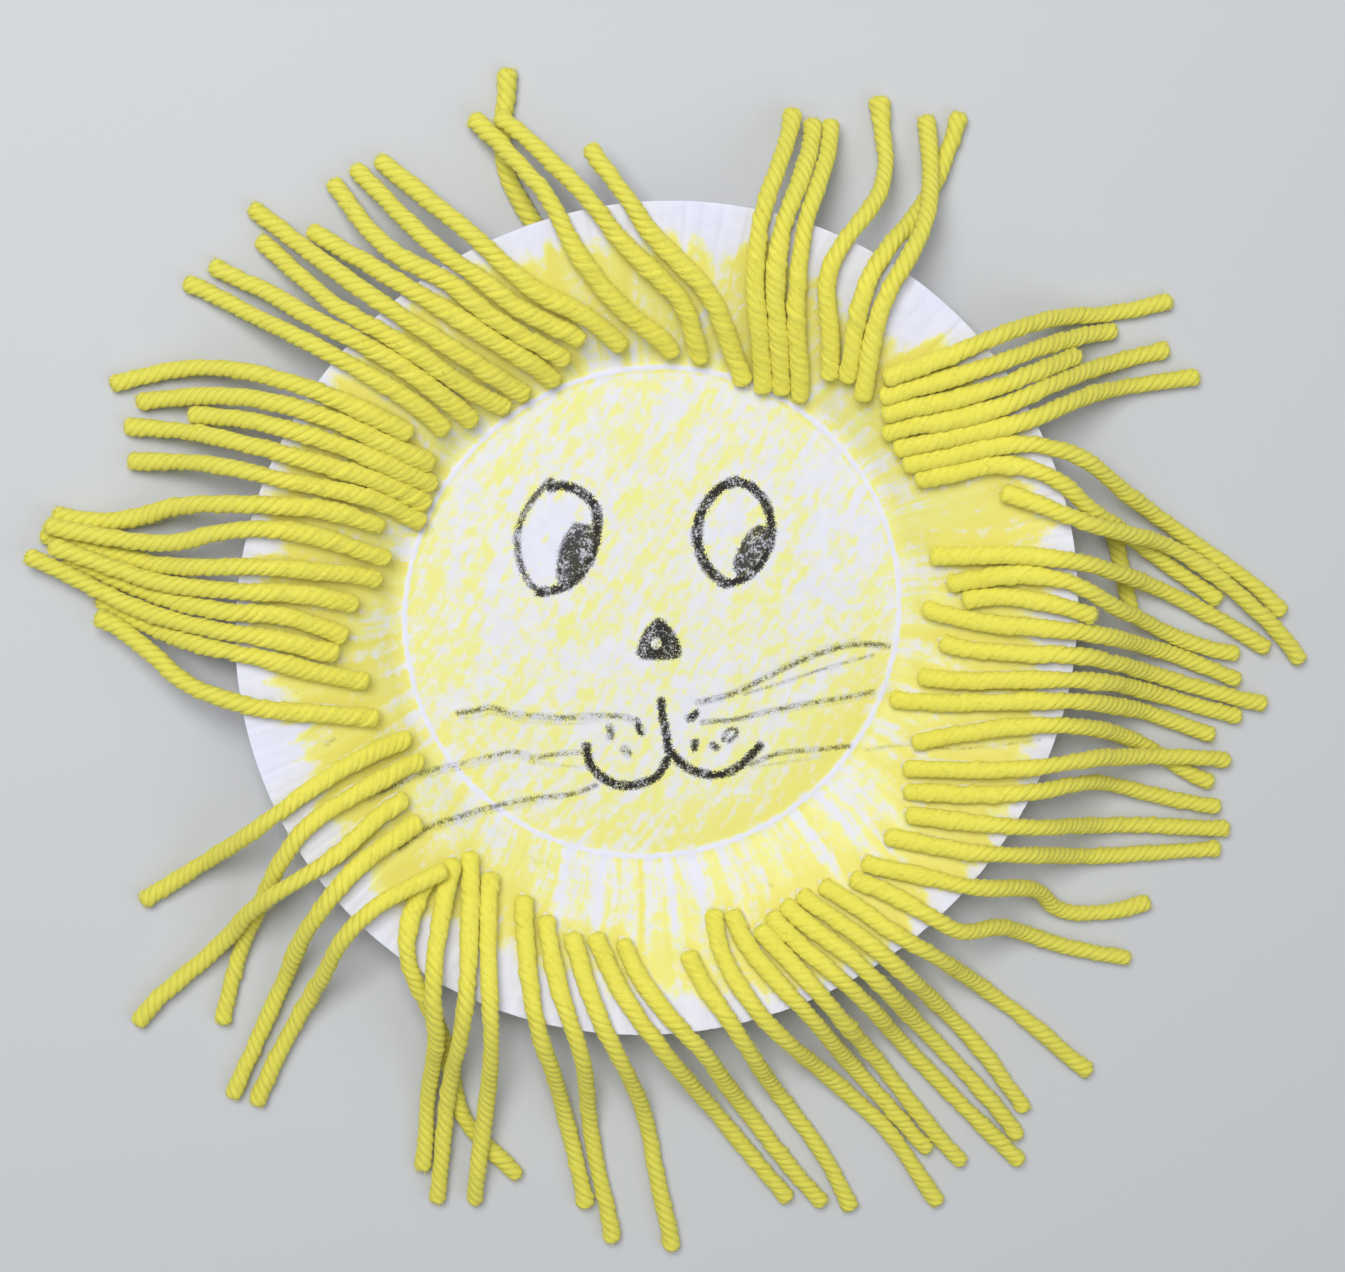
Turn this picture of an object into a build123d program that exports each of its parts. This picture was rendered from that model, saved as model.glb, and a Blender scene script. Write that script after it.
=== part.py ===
from build123d import *
import os
from math import sin, cos, atan2, hypot, pi, radians, degrees, tan, asin

# A six-inch pressed paper plate, lying face up on a table, with a lion's face drawn on its
# floor and a mane of short lengths of yellow yarn glued around its wall.
# Millimetres. +Z is out of the face, +X to the lion's left (the viewer's right), +Y to the
# top of its head. The origin is the plate's centre, on the table.

# ---- driving dimensions -------------------------------------------------------------
PLATE_R = 76.2          # six-inch plate, outside of the rim
RIM_Z = 12.95           # top of the rim's edge above the table
BOARD_T = 0.5           # pressed board
FLOOR_R = 45.48         # where the flat floor ends and the wall starts to rise
CORNER_R = 6.0          # inside radius between floor and wall
WALL_DEG = 36.0         # steepest slope of the wall
GLUE_IN_R = 50.0        # inner and outer radius of the dried glue on the wall
GLUE_OUT_R = 70.0
GLUE_T = 0.2
YARN_D = 3.1            # relaxed four-ply worsted yarn

# ---- the plate's section ------------------------------------------------------------
# Floor, a small concave corner, then a wall that curves over into the rim.
A0 = radians(WALL_DEG)
C1X, C1Z = FLOOR_R, BOARD_T + CORNER_R
P1X, P1Z = C1X + CORNER_R * sin(A0), C1Z - CORNER_R * cos(A0)
CHORD = hypot(PLATE_R - P1X, RIM_Z - P1Z)
RISE = atan2(RIM_Z - P1Z, PLATE_R - P1X)
WALL_R = CHORD / (2 * sin(A0 - RISE))
C2X, C2Z = P1X + WALL_R * sin(A0), P1Z - WALL_R * cos(A0)
A_END = A0 - 2 * (A0 - RISE)      # slope of the board at the rim


def corner(a, off=0.0):
    """Point on the corner arc at slope a, moved off along the board's normal (down is positive)."""
    return (C1X + (CORNER_R + off) * sin(a), C1Z - (CORNER_R + off) * cos(a))


def wall(a, off=0.0):
    """Point on the wall arc at slope a, moved off along the board's normal (down is positive)."""
    return (C2X - (WALL_R - off) * sin(a), C2Z + (WALL_R - off) * cos(a))


def wall_slope(r, off=0.0):
    return asin((C2X - r) / (WALL_R - off))


with BuildPart() as paper_plate:
    with BuildSketch(Plane.XZ) as section:
        with BuildLine():
            Line((0, 0), (0, BOARD_T))
            Line((0, BOARD_T), (C1X, BOARD_T))
            ThreePointArc((C1X, BOARD_T), corner(A0 / 2), corner(A0))
            ThreePointArc(corner(A0), wall((A0 + A_END) / 2), wall(A_END))
            Line(wall(A_END), wall(A_END, BOARD_T))
            ThreePointArc(wall(A_END, BOARD_T), wall((A0 + A_END) / 2, BOARD_T), corner(A0, BOARD_T))
            ThreePointArc(corner(A0, BOARD_T), corner(A0 / 2, BOARD_T), (C1X, 0))
            Line((C1X, 0), (0, 0))
        make_face()
    revolve(axis=Axis.Z)

# ---- dried glue: a thin ring on the wall, between the board and the yarn --------------
with BuildPart() as glue_film:
    GA, GB = wall_slope(GLUE_IN_R, 0), wall_slope(GLUE_OUT_R, 0)
    with BuildSketch(Plane.XZ):
        with BuildLine():
            ThreePointArc(wall(GA), wall((GA + GB) / 2), wall(GB))
            Line(wall(GB), wall(GB, -GLUE_T))
            ThreePointArc(wall(GB, -GLUE_T), wall((GA + GB) / 2, -GLUE_T), wall(GA, -GLUE_T))
            Line(wall(GA, -GLUE_T), wall(GA))
        make_face()
    revolve(axis=Axis.Z)

# ---- the mane -----------------------------------------------------------------------
# Each length of yarn starts at its glued inner end on the wall, crosses the rim and drops
# to the table. Straight runs joined by tangent arcs; centreline corner points in mm.
SINGLE = {
    "yarn_s1": [(-6.6, 49.6, 4.67), (-8.87, 52.56, 6.87), (-15.34, 57.27, 10.06), (-22.86, 60.78, 12.39), (-28.96, 66.31, 14.83), (-35.16, 72.2, 14.77), (-40.82, 76.59, 9.62), (-46.01, 80.94, 4.42), (-48.99, 83.39, 2.36)],
    "yarn_s2": [(-13.84, 51.43, 6.68), (-17.43, 53.67, 8.52), (-25.41, 57.5, 11.48), (-32.04, 63.26, 14.17), (-39.63, 68.43, 15.17), (-45.34, 73.76, 9.72), (-50.16, 78.96, 3.93), (-53.13, 82.04, 1.99)],
    "yarn_s3": [(-16.46, 47.53, 4.85), (-19.34, 49.78, 6.86), (-26.02, 53.57, 10.21), (-32.4, 58.09, 12.83), (-38.41, 63.62, 15.14), (-45.92, 66.94, 14.21), (-51.08, 71.21, 8.82), (-54.71, 76.56, 3.66), (-56.98, 79.69, 1.92)],
    "yarn_s4": [(-18.17, 43.35, 2.64), (-20.43, 45.97, 4.92), (-26.49, 50.01, 8.63), (-32.84, 54.25, 11.63), (-39.29, 58.64, 13.94), (-46.25, 62.95, 15.21), (-52.52, 66.66, 11.13), (-58.18, 69.61, 6.08), (-61.03, 71.49, 3.73)],
    "yarn_s5": [(-23.41, 41.56, 2.95), (-26.74, 43.57, 5.52), (-33.44, 48.44, 9.96), (-40.53, 53.45, 12.93), (-48.09, 58.7, 15.66), (-55.25, 63.55, 12.54), (-60.94, 67.61, 6.32), (-67.42, 72.53, 2.04), (-70.99, 75.39, 1.6)],
    "yarn_k4": [(-41.45, 22.28, 2.63), (-44.34, 24.53, 5.17), (-51.11, 28.41, 9.72), (-58.81, 31.3, 12.78), (-67.03, 34.36, 15.49), (-75.23, 36.21, 12.82), (-82.01, 37.07, 6.93), (-89.58, 37.34, 2.33), (-93.93, 37.47, 1.6)],
    "yarn_k5": [(-42.32, 18.65, 2.44), (-45.14, 21.09, 4.6), (-51.5, 24.98, 9.25), (-59.17, 27.46, 12.36), (-67.25, 29.68, 15.28), (-75.45, 31.78, 13.98), (-82.31, 32.07, 8.18), (-89.39, 31.49, 3.34), (-93.48, 31.49, 1.76)],
    "yarn_j1": [(-49.66, 19.1, 6.65), (-53.15, 21.17, 9.17), (-61.01, 24.19, 12.52), (-70.03, 25.44, 15.47), (-78.83, 25.57, 13.28), (-86.07, 24.3, 7.44), (-93.4, 21.02, 2.61), (-102.54, 20.99, 1.56), (-106.9, 22.66, 1.6)],
    "yarn_j2": [(-48.59, 13.14, 4.87), (-52.26, 14.76, 7.62), (-59.94, 18.58, 11.48), (-68.63, 21.29, 14.92), (-77.96, 21, 14.43), (-86, 17.93, 9.84), (-94.46, 18.07, 5.51), (-103.61, 19.89, 4.23), (-108.22, 21.09, 4.5)],
    "yarn_j3": [(-50.31, 9.32, 5.4), (-53.93, 11.16, 8.08), (-62.32, 12.92, 11.85), (-71.25, 14.7, 15.17), (-80.53, 14.57, 13.99), (-87.84, 13.56, 7.55), (-95.52, 14.57, 1.97), (-104.64, 17.6, 1.56), (-109.06, 19.16, 1.6)],
    "yarn_j4": [(-54.61, 5.59, 7.61), (-58.05, 7.08, 9.69), (-65.53, 9.21, 12.51), (-73.68, 10.26, 15.3), (-81.65, 10.68, 13.4), (-89.04, 11.09, 9.36), (-96.13, 12.97, 5.28), (-103.8, 16.08, 4.57), (-107.66, 17.61, 4.72)],
    "yarn_j8": [(-51.31, -15.37, 6.86), (-54.94, -14.58, 8.7), (-62.33, -12.75, 11.73), (-70.12, -11.46, 14.11), (-77.87, -9.03, 15.18), (-85.05, -6.75, 11.62), (-90.7, -1.32, 9.18), (-96.57, 3.11, 5.69), (-100.25, 4.81, 4.98)],
    "yarn_i1": [(-45.48, -19.96, 4.42), (-49.36, -20.3, 6.94), (-57.22, -22.6, 11.03), (-64.93, -26.52, 14.16), (-72.45, -31.74, 15.18), (-78.19, -37.03, 10.07), (-83.37, -41.79, 4.18), (-90.36, -46.87, 1.56), (-94.4, -49.16, 1.64)],
    "yarn_i2": [(-43.39, -23.99, 4.36), (-47.54, -24.81, 7.49), (-56.03, -27.84, 11.74), (-65.15, -32.07, 15.43), (-70.39, -40.45, 13.42), (-73.03, -48.8, 7.1), (-76.42, -57.5, 1.91), (-79.49, -67.91, 1.56), (-80.73, -73.31, 1.87)],
    "yarn_h1": [(-42.5, -43.68, 10.47), (-45.33, -46.92, 12.27), (-48.49, -56.51, 15.34), (-44.65, -66.61, 13.59), (-40.79, -75.52, 8.92), (-38.93, -84.45, 2.76), (-37.15, -95.11, 1.56), (-29.7, -103.35, 1.95), (-26.31, -107.2, 1.58)],
    "yarn_h2": [(-38.28, -41.59, 8.95), (-40, -45.99, 11.55), (-42.35, -55.32, 14.97), (-43.49, -65.27, 17.27), (-42.33, -74.42, 13.53), (-42.77, -81.95, 7.11), (-43.54, -90.48, 2.49), (-43.94, -100.05, 2.35), (-44.65, -104.49, 1.6)],
    "yarn_h3": [(-35.32, -40.93, 7.09), (-35.41, -46.07, 9.68), (-36.26, -56.28, 13.4), (-37.29, -67.13, 16.65), (-38.61, -76.97, 12.82), (-39.5, -85.38, 6.04), (-40.49, -95.57, 3.15), (-41.42, -106.13, 2.83), (-41.96, -111.12, 1.6)],
    "yarn_h4": [(-31.69, -44.92, 7.65), (-32.34, -49.59, 10.5), (-33.01, -59.26, 14.21), (-32.91, -69.53, 17.23), (-32.56, -78.91, 13.71), (-32.62, -86.9, 7.85), (-33.46, -96.51, 4.96), (-34.86, -106.68, 4.34), (-34.79, -111.65, 1.61)],
    "yarn_g3": [(-12.93, -57.03, 9.43), (-11.36, -61.79, 11.4), (-6.61, -70.85, 14.51), (-0.31, -79.51, 14.96), (4.73, -87.15, 9.15), (9.85, -94.54, 3.43), (16.02, -102.99, 1.56), (22.47, -111.46, 1.87), (25.7, -115.67, 1.6)],
    "yarn_g2": [(-7.77, -58.41, 9.64), (-6.25, -63.31, 11.67), (-0.29, -71.87, 14.84), (7.05, -79.82, 14.76), (11.44, -87.78, 8.31), (16.39, -95.3, 2.31), (22.58, -104.35, 1.63), (28.98, -112.95, 1.75), (32.6, -117.01, 1.6)],
    "yarn_g1": [(4.16, -61.07, 10.64), (5.76, -65.56, 12.45), (11.54, -73.72, 15.56), (16.41, -82.07, 12.56), (20.32, -88.86, 5.78), (25.41, -96.62, 1.57), (31.37, -104.95, 1.83), (36.15, -113.88, 1.62), (37.95, -118.64, 1.6)],
    "yarn_f9": [(9.7, -54.23, 7.72), (9.3, -59.83, 10.51), (14.83, -70.2, 15.23), (22.79, -79.22, 14.04), (29.19, -86.42, 5.64), (37, -94.54, 1.59), (45.84, -103.25, 1.95), (52.08, -113.62, 1.64), (55.45, -118.68, 1.6)],
    "yarn_f8": [(12.94, -54.38, 8.14), (13.87, -58.64, 10.27), (19.88, -66.4, 14.07), (26.84, -73.83, 15.24), (32.09, -81.27, 9.7), (36.87, -87.75, 3.06), (43.42, -95.74, 1.57), (49.96, -103.72, 1.79), (53.28, -107.64, 1.59)],
    "yarn_f7": [(17.45, -57.33, 10.03), (20.69, -60.87, 11.97), (27.5, -68.23, 15.58), (33.65, -76.21, 13.12), (38.52, -82.65, 6.09), (44.13, -90.07, 1.79), (50.39, -98.67, 1.92), (56.65, -106.8, 1.67), (60.21, -110.62, 1.6)],
    "yarn_f6": [(19.68, -54.96, 9.41), (23.11, -58.98, 11.66), (32.02, -66.32, 15.75), (39.4, -74.3, 12.66), (44.75, -81.61, 4.37), (51.87, -90, 1.56), (59.79, -98.71, 2.04), (67.74, -107.06, 1.6), (71.81, -111.22, 1.6)],
    "yarn_f5": [(22.38, -53.15, 9.04), (25.96, -56.67, 11.3), (34.69, -62.7, 15.3), (41.99, -70.68, 14.1), (47.24, -77.23, 6.44), (53.83, -84.96, 2.03), (61.17, -93.06, 1.86), (68.19, -101.49, 1.76), (71.27, -106.02, 1.6)],
    "yarn_f1": [(37.18, -45.79, 9.67), (39.62, -46.79, 10.66), (44.91, -47.55, 12.28), (50.2, -48.77, 13.56), (55.52, -50.09, 14.99), (61.03, -50.89, 14.44), (65.9, -51.83, 11.66), (70.19, -53.23, 8.34), (73.71, -55.69, 4.85), (76.68, -59.8, 1.94), (82.12, -61.11, 1.56), (87.75, -61.1, 1.64), (93.21, -60.13, 1.58), (95.9, -59.31, 1.6)],
    "yarn_e7": [(45.33, -29.15, 7.05), (50, -28.69, 9.83), (59.54, -28.49, 13.53), (69.52, -27.32, 17.01), (79.26, -26.47, 15.19), (86.79, -28.32, 8.78), (95.64, -29.71, 4.65), (105.72, -30.63, 4.05), (110.18, -31.94, 1.68)],
    "yarn_e6": [(47.08, -24.47, 6.56), (51.42, -23.07, 8.8), (60.46, -20.97, 11.99), (70.1, -19.6, 15.45), (79.58, -21.13, 13.52), (86.51, -24.39, 6.2), (94.28, -28.42, 1.56), (102.67, -34.54, 1.8), (107.55, -36.27, 1.59)],
    "yarn_e5": [(43.74, -16.92, 2.6), (48.05, -16.97, 5.55), (57.28, -16.39, 10.22), (66.9, -15.46, 13.85), (77.28, -15.54, 15.3), (85.51, -18.42, 9.25), (93.05, -21.28, 2.67), (102.63, -25.19, 1.56), (107.38, -27.1, 1.65)],
    "yarn_e4": [(48.48, -12.24, 4.64), (52.8, -12.65, 7.74), (62.16, -11.88, 11.71), (72.11, -11.19, 15.46), (81.96, -12.53, 13.38), (89.27, -15.69, 6.23), (97.74, -19.04, 1.57), (107.71, -22.22, 1.85), (112.6, -23.6, 1.6)],
    "yarn_e1": [(53.07, 5.4, 6.73), (57.13, 6.54, 9.24), (66.19, 8.37, 12.8), (75.55, 6.48, 15.49), (83.38, 1.02, 12.61), (90.27, -2.46, 6.49), (97.64, -6.96, 1.72), (106.86, -10.47, 1.63), (111.65, -11.26, 1.6)],
    "yarn_d2": [(61.26, 23.4, 12.27), (66.62, 21.64, 14.4), (77.42, 17.28, 16.34), (86.91, 14.24, 11.23), (95.49, 11.17, 4.71), (104.69, 5.48, 3.18), (113.1, -1.46, 3.03), (121.05, -8.85, 2.22), (124.05, -13.35, 1.61)],
    "yarn_d0": [(44.49, 27.67, 6.15), (50.01, 28.87, 9.44), (62.59, 32.99, 14.42), (75.21, 30.39, 15.09), (84.79, 22.4, 9.58), (94.11, 15.97, 3.12), (104.76, 8.5, 1.56), (115.56, 1.1, 1.88), (120.11, -3.74, 1.58)],
    "yarn_c2": [(39.52, 40.17, 8.32), (43.15, 41.58, 10.24), (50.9, 44.04, 12.83), (58.95, 46.89, 15.3), (66.9, 49.11, 12.9), (73.87, 49.81, 7.49), (81.09, 50.44, 2.75), (85.34, 50.56, 1.67)],
    "yarn_c1": [(39.78, 43.71, 9.66), (43.46, 45.39, 11.4), (51.33, 48.46, 14.11), (59.47, 52.12, 15.27), (67.27, 53.5, 10.66), (74.4, 54.01, 5.39), (82.65, 53.48, 1.68), (91.55, 54.89, 1.68), (95.81, 55.99, 1.6)],
    "yarn_b5": [(36.24, 39.82, 8.27), (36.58, 43.8, 10.04), (36.95, 51.78, 12.82), (38.59, 59.72, 15.45), (43.04, 67.03, 16.4), (46.92, 73.03, 11.87), (48.6, 79.12, 6.53), (49.09, 86.21, 2.51), (48.7, 89.84, 1.6)],
    "yarn_b4": [(33.77, 43.2, 7.52), (33.71, 46.29, 9.49), (33.92, 53.46, 12.41), (34.63, 60.92, 15.47), (38.69, 67.66, 14.64), (44.81, 71.9, 9.12), (49.72, 76.98, 3.68), (53.63, 85.11, 1.56), (55.02, 90.31, 1.9)],
    "yarn_b3": [(30.63, 43.55, 6.69), (30.51, 47.21, 8.54), (29.42, 54.73, 11.43), (27.88, 62.73, 13.8), (31.54, 70.03, 15.32), (37.47, 75.36, 11.85), (40.76, 81.09, 6.3), (40.37, 88.89, 2.14), (40.14, 93.23, 1.6)],
    "yarn_a4": [(16.06, 42.3, 2.33), (14.56, 45.89, 3.3), (11.7, 52.35, 7.1), (8.67, 59.24, 10.13), (3.26, 64.85, 12.16), (-2.51, 70.08, 13.67), (-7.01, 76.76, 15.21), (-11.46, 82.78, 12.16), (-13.07, 85.52, 9.62)],
}

# Short lengths that lie together in a tuft: each tuft is one file of three separate lengths.
TUFTS = {
    "yarn_tuft_01": [
        [(-19.76, 68.39, 1.6), (-22.66, 72.78, 1.59), (-27.72, 82.5, 1.59), (-26.32, 93.25, 1.58), (-25.93, 98.55, 1.58)],
        [(2.91, 47.95, 3.18), (0.83, 51.14, 5.46), (-5.95, 55.95, 8.55), (-11.55, 61.93, 11.55), (-16.6, 68.66, 14.28), (-20.22, 76.69, 15.06), (-25.04, 82.45, 9.89), (-29.62, 87.59, 4.58), (-32.57, 90.28, 2.54)],
        [(8.13, 46.71, 2.8), (6.62, 50.2, 5.28), (4.01, 58.02, 9.54), (-2.3, 64.07, 12.08), (-8.77, 70.03, 14.28), (-14.11, 77.42, 15.6), (-19.93, 83.15, 11.39), (-25.08, 88.31, 6.27), (-28.37, 90.76, 4.34)],
    ],
    "yarn_tuft_02": [
        [(19.38, 40.64, 2.33), (19.21, 44.55, 3.52), (17.65, 51.51, 7.82), (16.08, 59, 11.07), (15.57, 66.73, 13.75), (16.55, 75.04, 15.32), (19.99, 81.9, 11.66), (23.2, 87.54, 6.18), (24.05, 91.03, 3.7)],
        [(22.88, 40.47, 2.54), (22.27, 44, 4.34), (21.08, 50.99, 8.18), (19.65, 58.32, 11.35), (19.2, 65.86, 13.88), (20.63, 73.83, 15.27), (24.22, 80.34, 11.91), (27.09, 85.87, 6.57), (27.57, 89.34, 4.11)],
        [(26.17, 39.06, 2.69), (25.82, 42.62, 4.55), (24.44, 49.76, 8.21), (23.37, 57.26, 11.42), (23.24, 64.91, 13.96), (24.19, 73.12, 15.19), (27.63, 79.84, 11.61), (30.46, 85.52, 6.06), (30.79, 89.17, 3.6)],
    ],
    "yarn_tuft_03": [
        [(40.21, 36.95, 7.48), (43.63, 38.37, 9.53), (51.26, 39.98, 12.29), (58.9, 42.45, 14.92), (66.61, 45.17, 14.45), (73.39, 46.44, 9.21), (76.61, 46.87, 6.68)],
        [(40.66, 33.08, 6.16), (43.94, 35.08, 8.47), (52.22, 36.44, 11.78), (60.31, 39.02, 14.86), (68.52, 42.41, 14.71), (75.76, 43.72, 9.19), (82.77, 44.71, 3.74), (91.19, 46.14, 1.56), (95.59, 47.08, 1.67)],
        [(42.7, 30.52, 6.22), (46.65, 31.57, 8.6), (54.86, 34.07, 11.96), (63.76, 35.95, 15.14), (72.36, 39.06, 13.93), (79.63, 40.17, 7.61), (87.53, 40.33, 2.36), (96.89, 41.32, 1.56), (101.57, 41.76, 1.62)],
    ],
    "yarn_tuft_04": [
        [(46.79, 24.87, 6.53), (50.99, 25.75, 9.29), (60.93, 29.03, 13.14), (70.58, 26.45, 15.47), (78.41, 19.06, 13.16), (86.2, 14.31, 7.56), (93.86, 8.61, 2.29), (102.73, 2.33, 1.56), (107.49, -0.72, 1.87)],
        [(50.11, 10.37, 5.41), (54.76, 10.87, 8.52), (64.89, 11.79, 12.81), (75.93, 10.6, 15.7), (85.33, 6.87, 10.61), (93.3, 3.08, 3.39), (103.15, -1.96, 1.56), (112.86, -7.55, 1.84), (117.38, -10.71, 1.6)],
        [(85.39, 15.34, 1.6), (86.76, 10.98, 1.6), (88.93, 2.1, 1.6), (90.08, -2.33, 1.6)],
    ],
    "yarn_tuft_05": [
        [(55.67, 2.42, 8.02), (61.15, 4.24, 10.87), (73.21, 2.35, 15.01), (79.04, 0, 14.74)],
        [(49.28, 0.63, 4.18), (53.41, -0.7, 7.26), (62.56, -1.66, 11.56), (72.45, -1.94, 15.39), (82.26, -3.94, 13.91), (89.6, -7.22, 6.89), (97.86, -10.38, 1.73), (107.47, -14.48, 1.81), (112.09, -16.5, 1.6)],
        [(52.12, -5.58, 6.18), (56.56, -6.72, 8.97), (66.17, -6.77, 12.91), (76.65, -6.88, 15.54), (85.42, -10.04, 10.56), (92.82, -13.47, 3.64), (102.32, -16.94, 1.56), (112.42, -20.08, 1.89), (117.47, -21.27, 1.6)],
    ],
    "yarn_tuft_06": [
        [(45.11, -33.23, 8.21), (49.77, -33.06, 10.22), (59.27, -33.31, 13.08), (69.25, -32.47, 15.43), (78.47, -32.02, 11.55), (85.68, -34.42, 4.56), (94.39, -37.72, 1.56), (104.26, -40.33, 1.93), (109.17, -41.01, 1.6)],
        [(45.24, -37.38, 9.53), (50.02, -37.55, 11.27), (59.69, -38.57, 14.58), (69.82, -39.56, 14.84), (77.89, -41.35, 8.45), (85.84, -43.42, 2.32), (96.05, -44.08, 1.57), (106.08, -45.28, 1.75), (111.16, -45.49, 1.6)],
        [(41.35, -41.26, 9.4), (46.25, -41.93, 11.23), (56.17, -43.7, 14.61), (66.68, -44.66, 14.86), (74.93, -46.99, 8.24), (83.13, -49.64, 2.07), (93.84, -49.65, 1.64), (104.24, -49.49, 1.72), (109.53, -49.41, 1.6)],
    ],
    "yarn_tuft_07": [
        [(34.85, -48.82, 10.11), (39.15, -50.12, 11.67), (47.35, -54.18, 14.94), (54.96, -59.63, 14.58), (63.41, -59.75, 9.43), (70.05, -63.43, 3.39), (78.41, -67.37, 1.56), (87.7, -69.64, 1.87), (92.31, -70.61, 1.6)],
        [(29.39, -49.98, 9.19), (33.8, -52.33, 11.24), (42.25, -58.35, 15.2), (51.18, -64.11, 14.08), (57.38, -69.74, 6.53), (64.58, -75.9, 1.65), (73.18, -82.76, 1.94), (80.91, -90.15, 1.64), (85.06, -93.63, 1.6)],
        [(25.35, -51.53, 8.92), (29.24, -54.38, 11.11), (37.47, -59.85, 14.92), (45.07, -67.06, 14.68), (50.67, -73.27, 7.98), (56.45, -79.75, 2.35), (63.58, -87.68, 1.85), (69.34, -96.17, 1.76), (72.42, -100.41, 1.6)],
    ],
    "yarn_tuft_08": [
        [(-17.21, -56.51, 9.7), (-16.11, -61.38, 11.62), (-13.04, -71.39, 15.13), (-8.44, -80.98, 14.21), (-4.9, -89.07, 7.54), (-1.86, -97.77, 1.96), (-0.17, -108.55, 1.75), (2.13, -118.99, 1.68), (3.09, -124.29, 1.6)],
        [(-21.59, -53.26, 8.94), (-21.59, -58.16, 11.13), (-19.52, -68.14, 14.48), (-16.03, -78.26, 15.02), (-14.34, -86.85, 8.51), (-13.16, -95.67, 2.48), (-11.57, -106.09, 1.56), (-9.1, -116.47, 1.8), (-8.62, -121.75, 1.6)],
        [(-25.67, -49.49, 8.07), (-25.91, -54.07, 10.35), (-25.55, -63.63, 13.43), (-24.13, -73.64, 15.51), (-21.07, -82.33, 11.1), (-18.89, -90.21, 4.96), (-16.62, -99.26, 1.56), (-14.48, -109.33, 1.8), (-13.58, -114.22, 1.6)],
    ],
    "yarn_tuft_09": [
        [(-46.51, -30.16, 7.9), (-51.35, -31.66, 10.67), (-59.14, -37.98, 15.01), (-68.58, -42.93, 16.57), (-74.91, -48.68, 10.5), (-78.85, -55.72, 4.1), (-85.88, -62.42, 2.44), (-93.62, -68.49, 2.26), (-96.04, -72.55, 1.6)],
        [(-44.27, -34.3, 8.2), (-48.36, -36.29, 10.49), (-56.85, -40.94, 14.35), (-63.42, -48.77, 15.03), (-66.93, -56.65, 9.03), (-69.03, -64.78, 3.09), (-73.13, -73.92, 1.56), (-77.41, -83.19, 1.84), (-79.48, -87.81, 1.6)],
        [(-40.04, -42.26, 13.21), (-44.18, -43.75, 14.23), (-52.84, -46.79, 16.79), (-59.62, -53.52, 16.37), (-61.95, -61.3, 10.42), (-64.86, -68.32, 4.34), (-69.05, -76.57, 1.97), (-73.43, -84.99, 2.15), (-75.05, -89.48, 1.6)],
    ],
    "yarn_tuft_10": [
        [(-56.74, 0.09, 8.58), (-60.44, 2.33, 10.5), (-68.46, 5.85, 13.54), (-77.85, 6.8, 15.45), (-85.83, 7.72, 10.33), (-92.75, 9.09, 4.03), (-100.85, 12.85, 1.56), (-105.34, 14.44, 1.7)],
        [(-58.27, -2.94, 9.37), (-61.98, -1.39, 11.09), (-69.67, 1.5, 13.91), (-78.05, 3.34, 15.3), (-85.87, 4.52, 11.5), (-93.21, 6.22, 7.18), (-100.38, 9.71, 4.21), (-107.85, 14.22, 4.78), (-111.74, 15.88, 4.5)],
        [(-52.94, -8.57, 6.9), (-56.88, -7.44, 9.2), (-64.9, -4.47, 12.22), (-73.22, -1.23, 15.21), (-81.98, 0.6, 13.96), (-88.96, 1.97, 7.73), (-96.03, 4.91, 2.72), (-99.72, 7.5, 1.58)],
    ],
    "yarn_tuft_11": [
        [(-44.6, 35.94, 8.84), (-47.74, 38, 10.74), (-54.59, 41.9, 13.42), (-62.14, 45.46, 15.45), (-69.66, 47.34, 11.84), (-76.23, 48.14, 6.68), (-83.64, 47.73, 2.34), (-91.85, 45.89, 1.56), (-96.02, 44.97, 1.62)],
        [(-40.62, 29.89, 4.9), (-43.74, 31.76, 7.22), (-50.47, 35.45, 10.98), (-57.46, 39.47, 13.71), (-65.42, 42.44, 15.31), (-73.07, 43.64, 11.25), (-79.9, 43.39, 6.23), (-87.46, 42.24, 2.14), (-91.7, 41.8, 1.6)],
        [(-40.08, 25.89, 2.94), (-43.05, 27.51, 5.53), (-49.53, 31.3, 9.87), (-56.63, 34.84, 12.8), (-64.43, 38.01, 15.44), (-72.31, 39.82, 12.92), (-79.08, 39.84, 7.14), (-82.47, 39.69, 4.47)],
    ],
    "yarn_tuft_12": [
        [(-26.82, 39.31, 2.88), (-30.08, 40.79, 5.23), (-36.27, 44.98, 9.42), (-42.45, 49.88, 12.45), (-49.15, 54.64, 15.16), (-56.61, 58.53, 14.18), (-61.82, 62.7, 8.45), (-66.8, 67.14, 3.27), (-69.79, 69.88, 1.74)],
        [(-33.06, 37.02, 4.4), (-35.57, 39.62, 6.79), (-41.39, 44.64, 10.77), (-47.72, 49.67, 13.53), (-55.05, 54.02, 15.66), (-62.14, 57.39, 12.12), (-67.73, 60.73, 6.63), (-74.67, 63.47, 2.41), (-78.15, 65.52, 1.6)],
        [(-38.38, 35.84, 6.24), (-40.49, 38.75, 8.42), (-46.39, 43.53, 11.74), (-52.94, 47.91, 14.44), (-60.07, 52.15, 15.04), (-66.49, 55.03, 10.42), (-72.32, 57.51, 5.29), (-79, 60.97, 1.94), (-82.7, 62.67, 1.6)],
    ],
}

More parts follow.
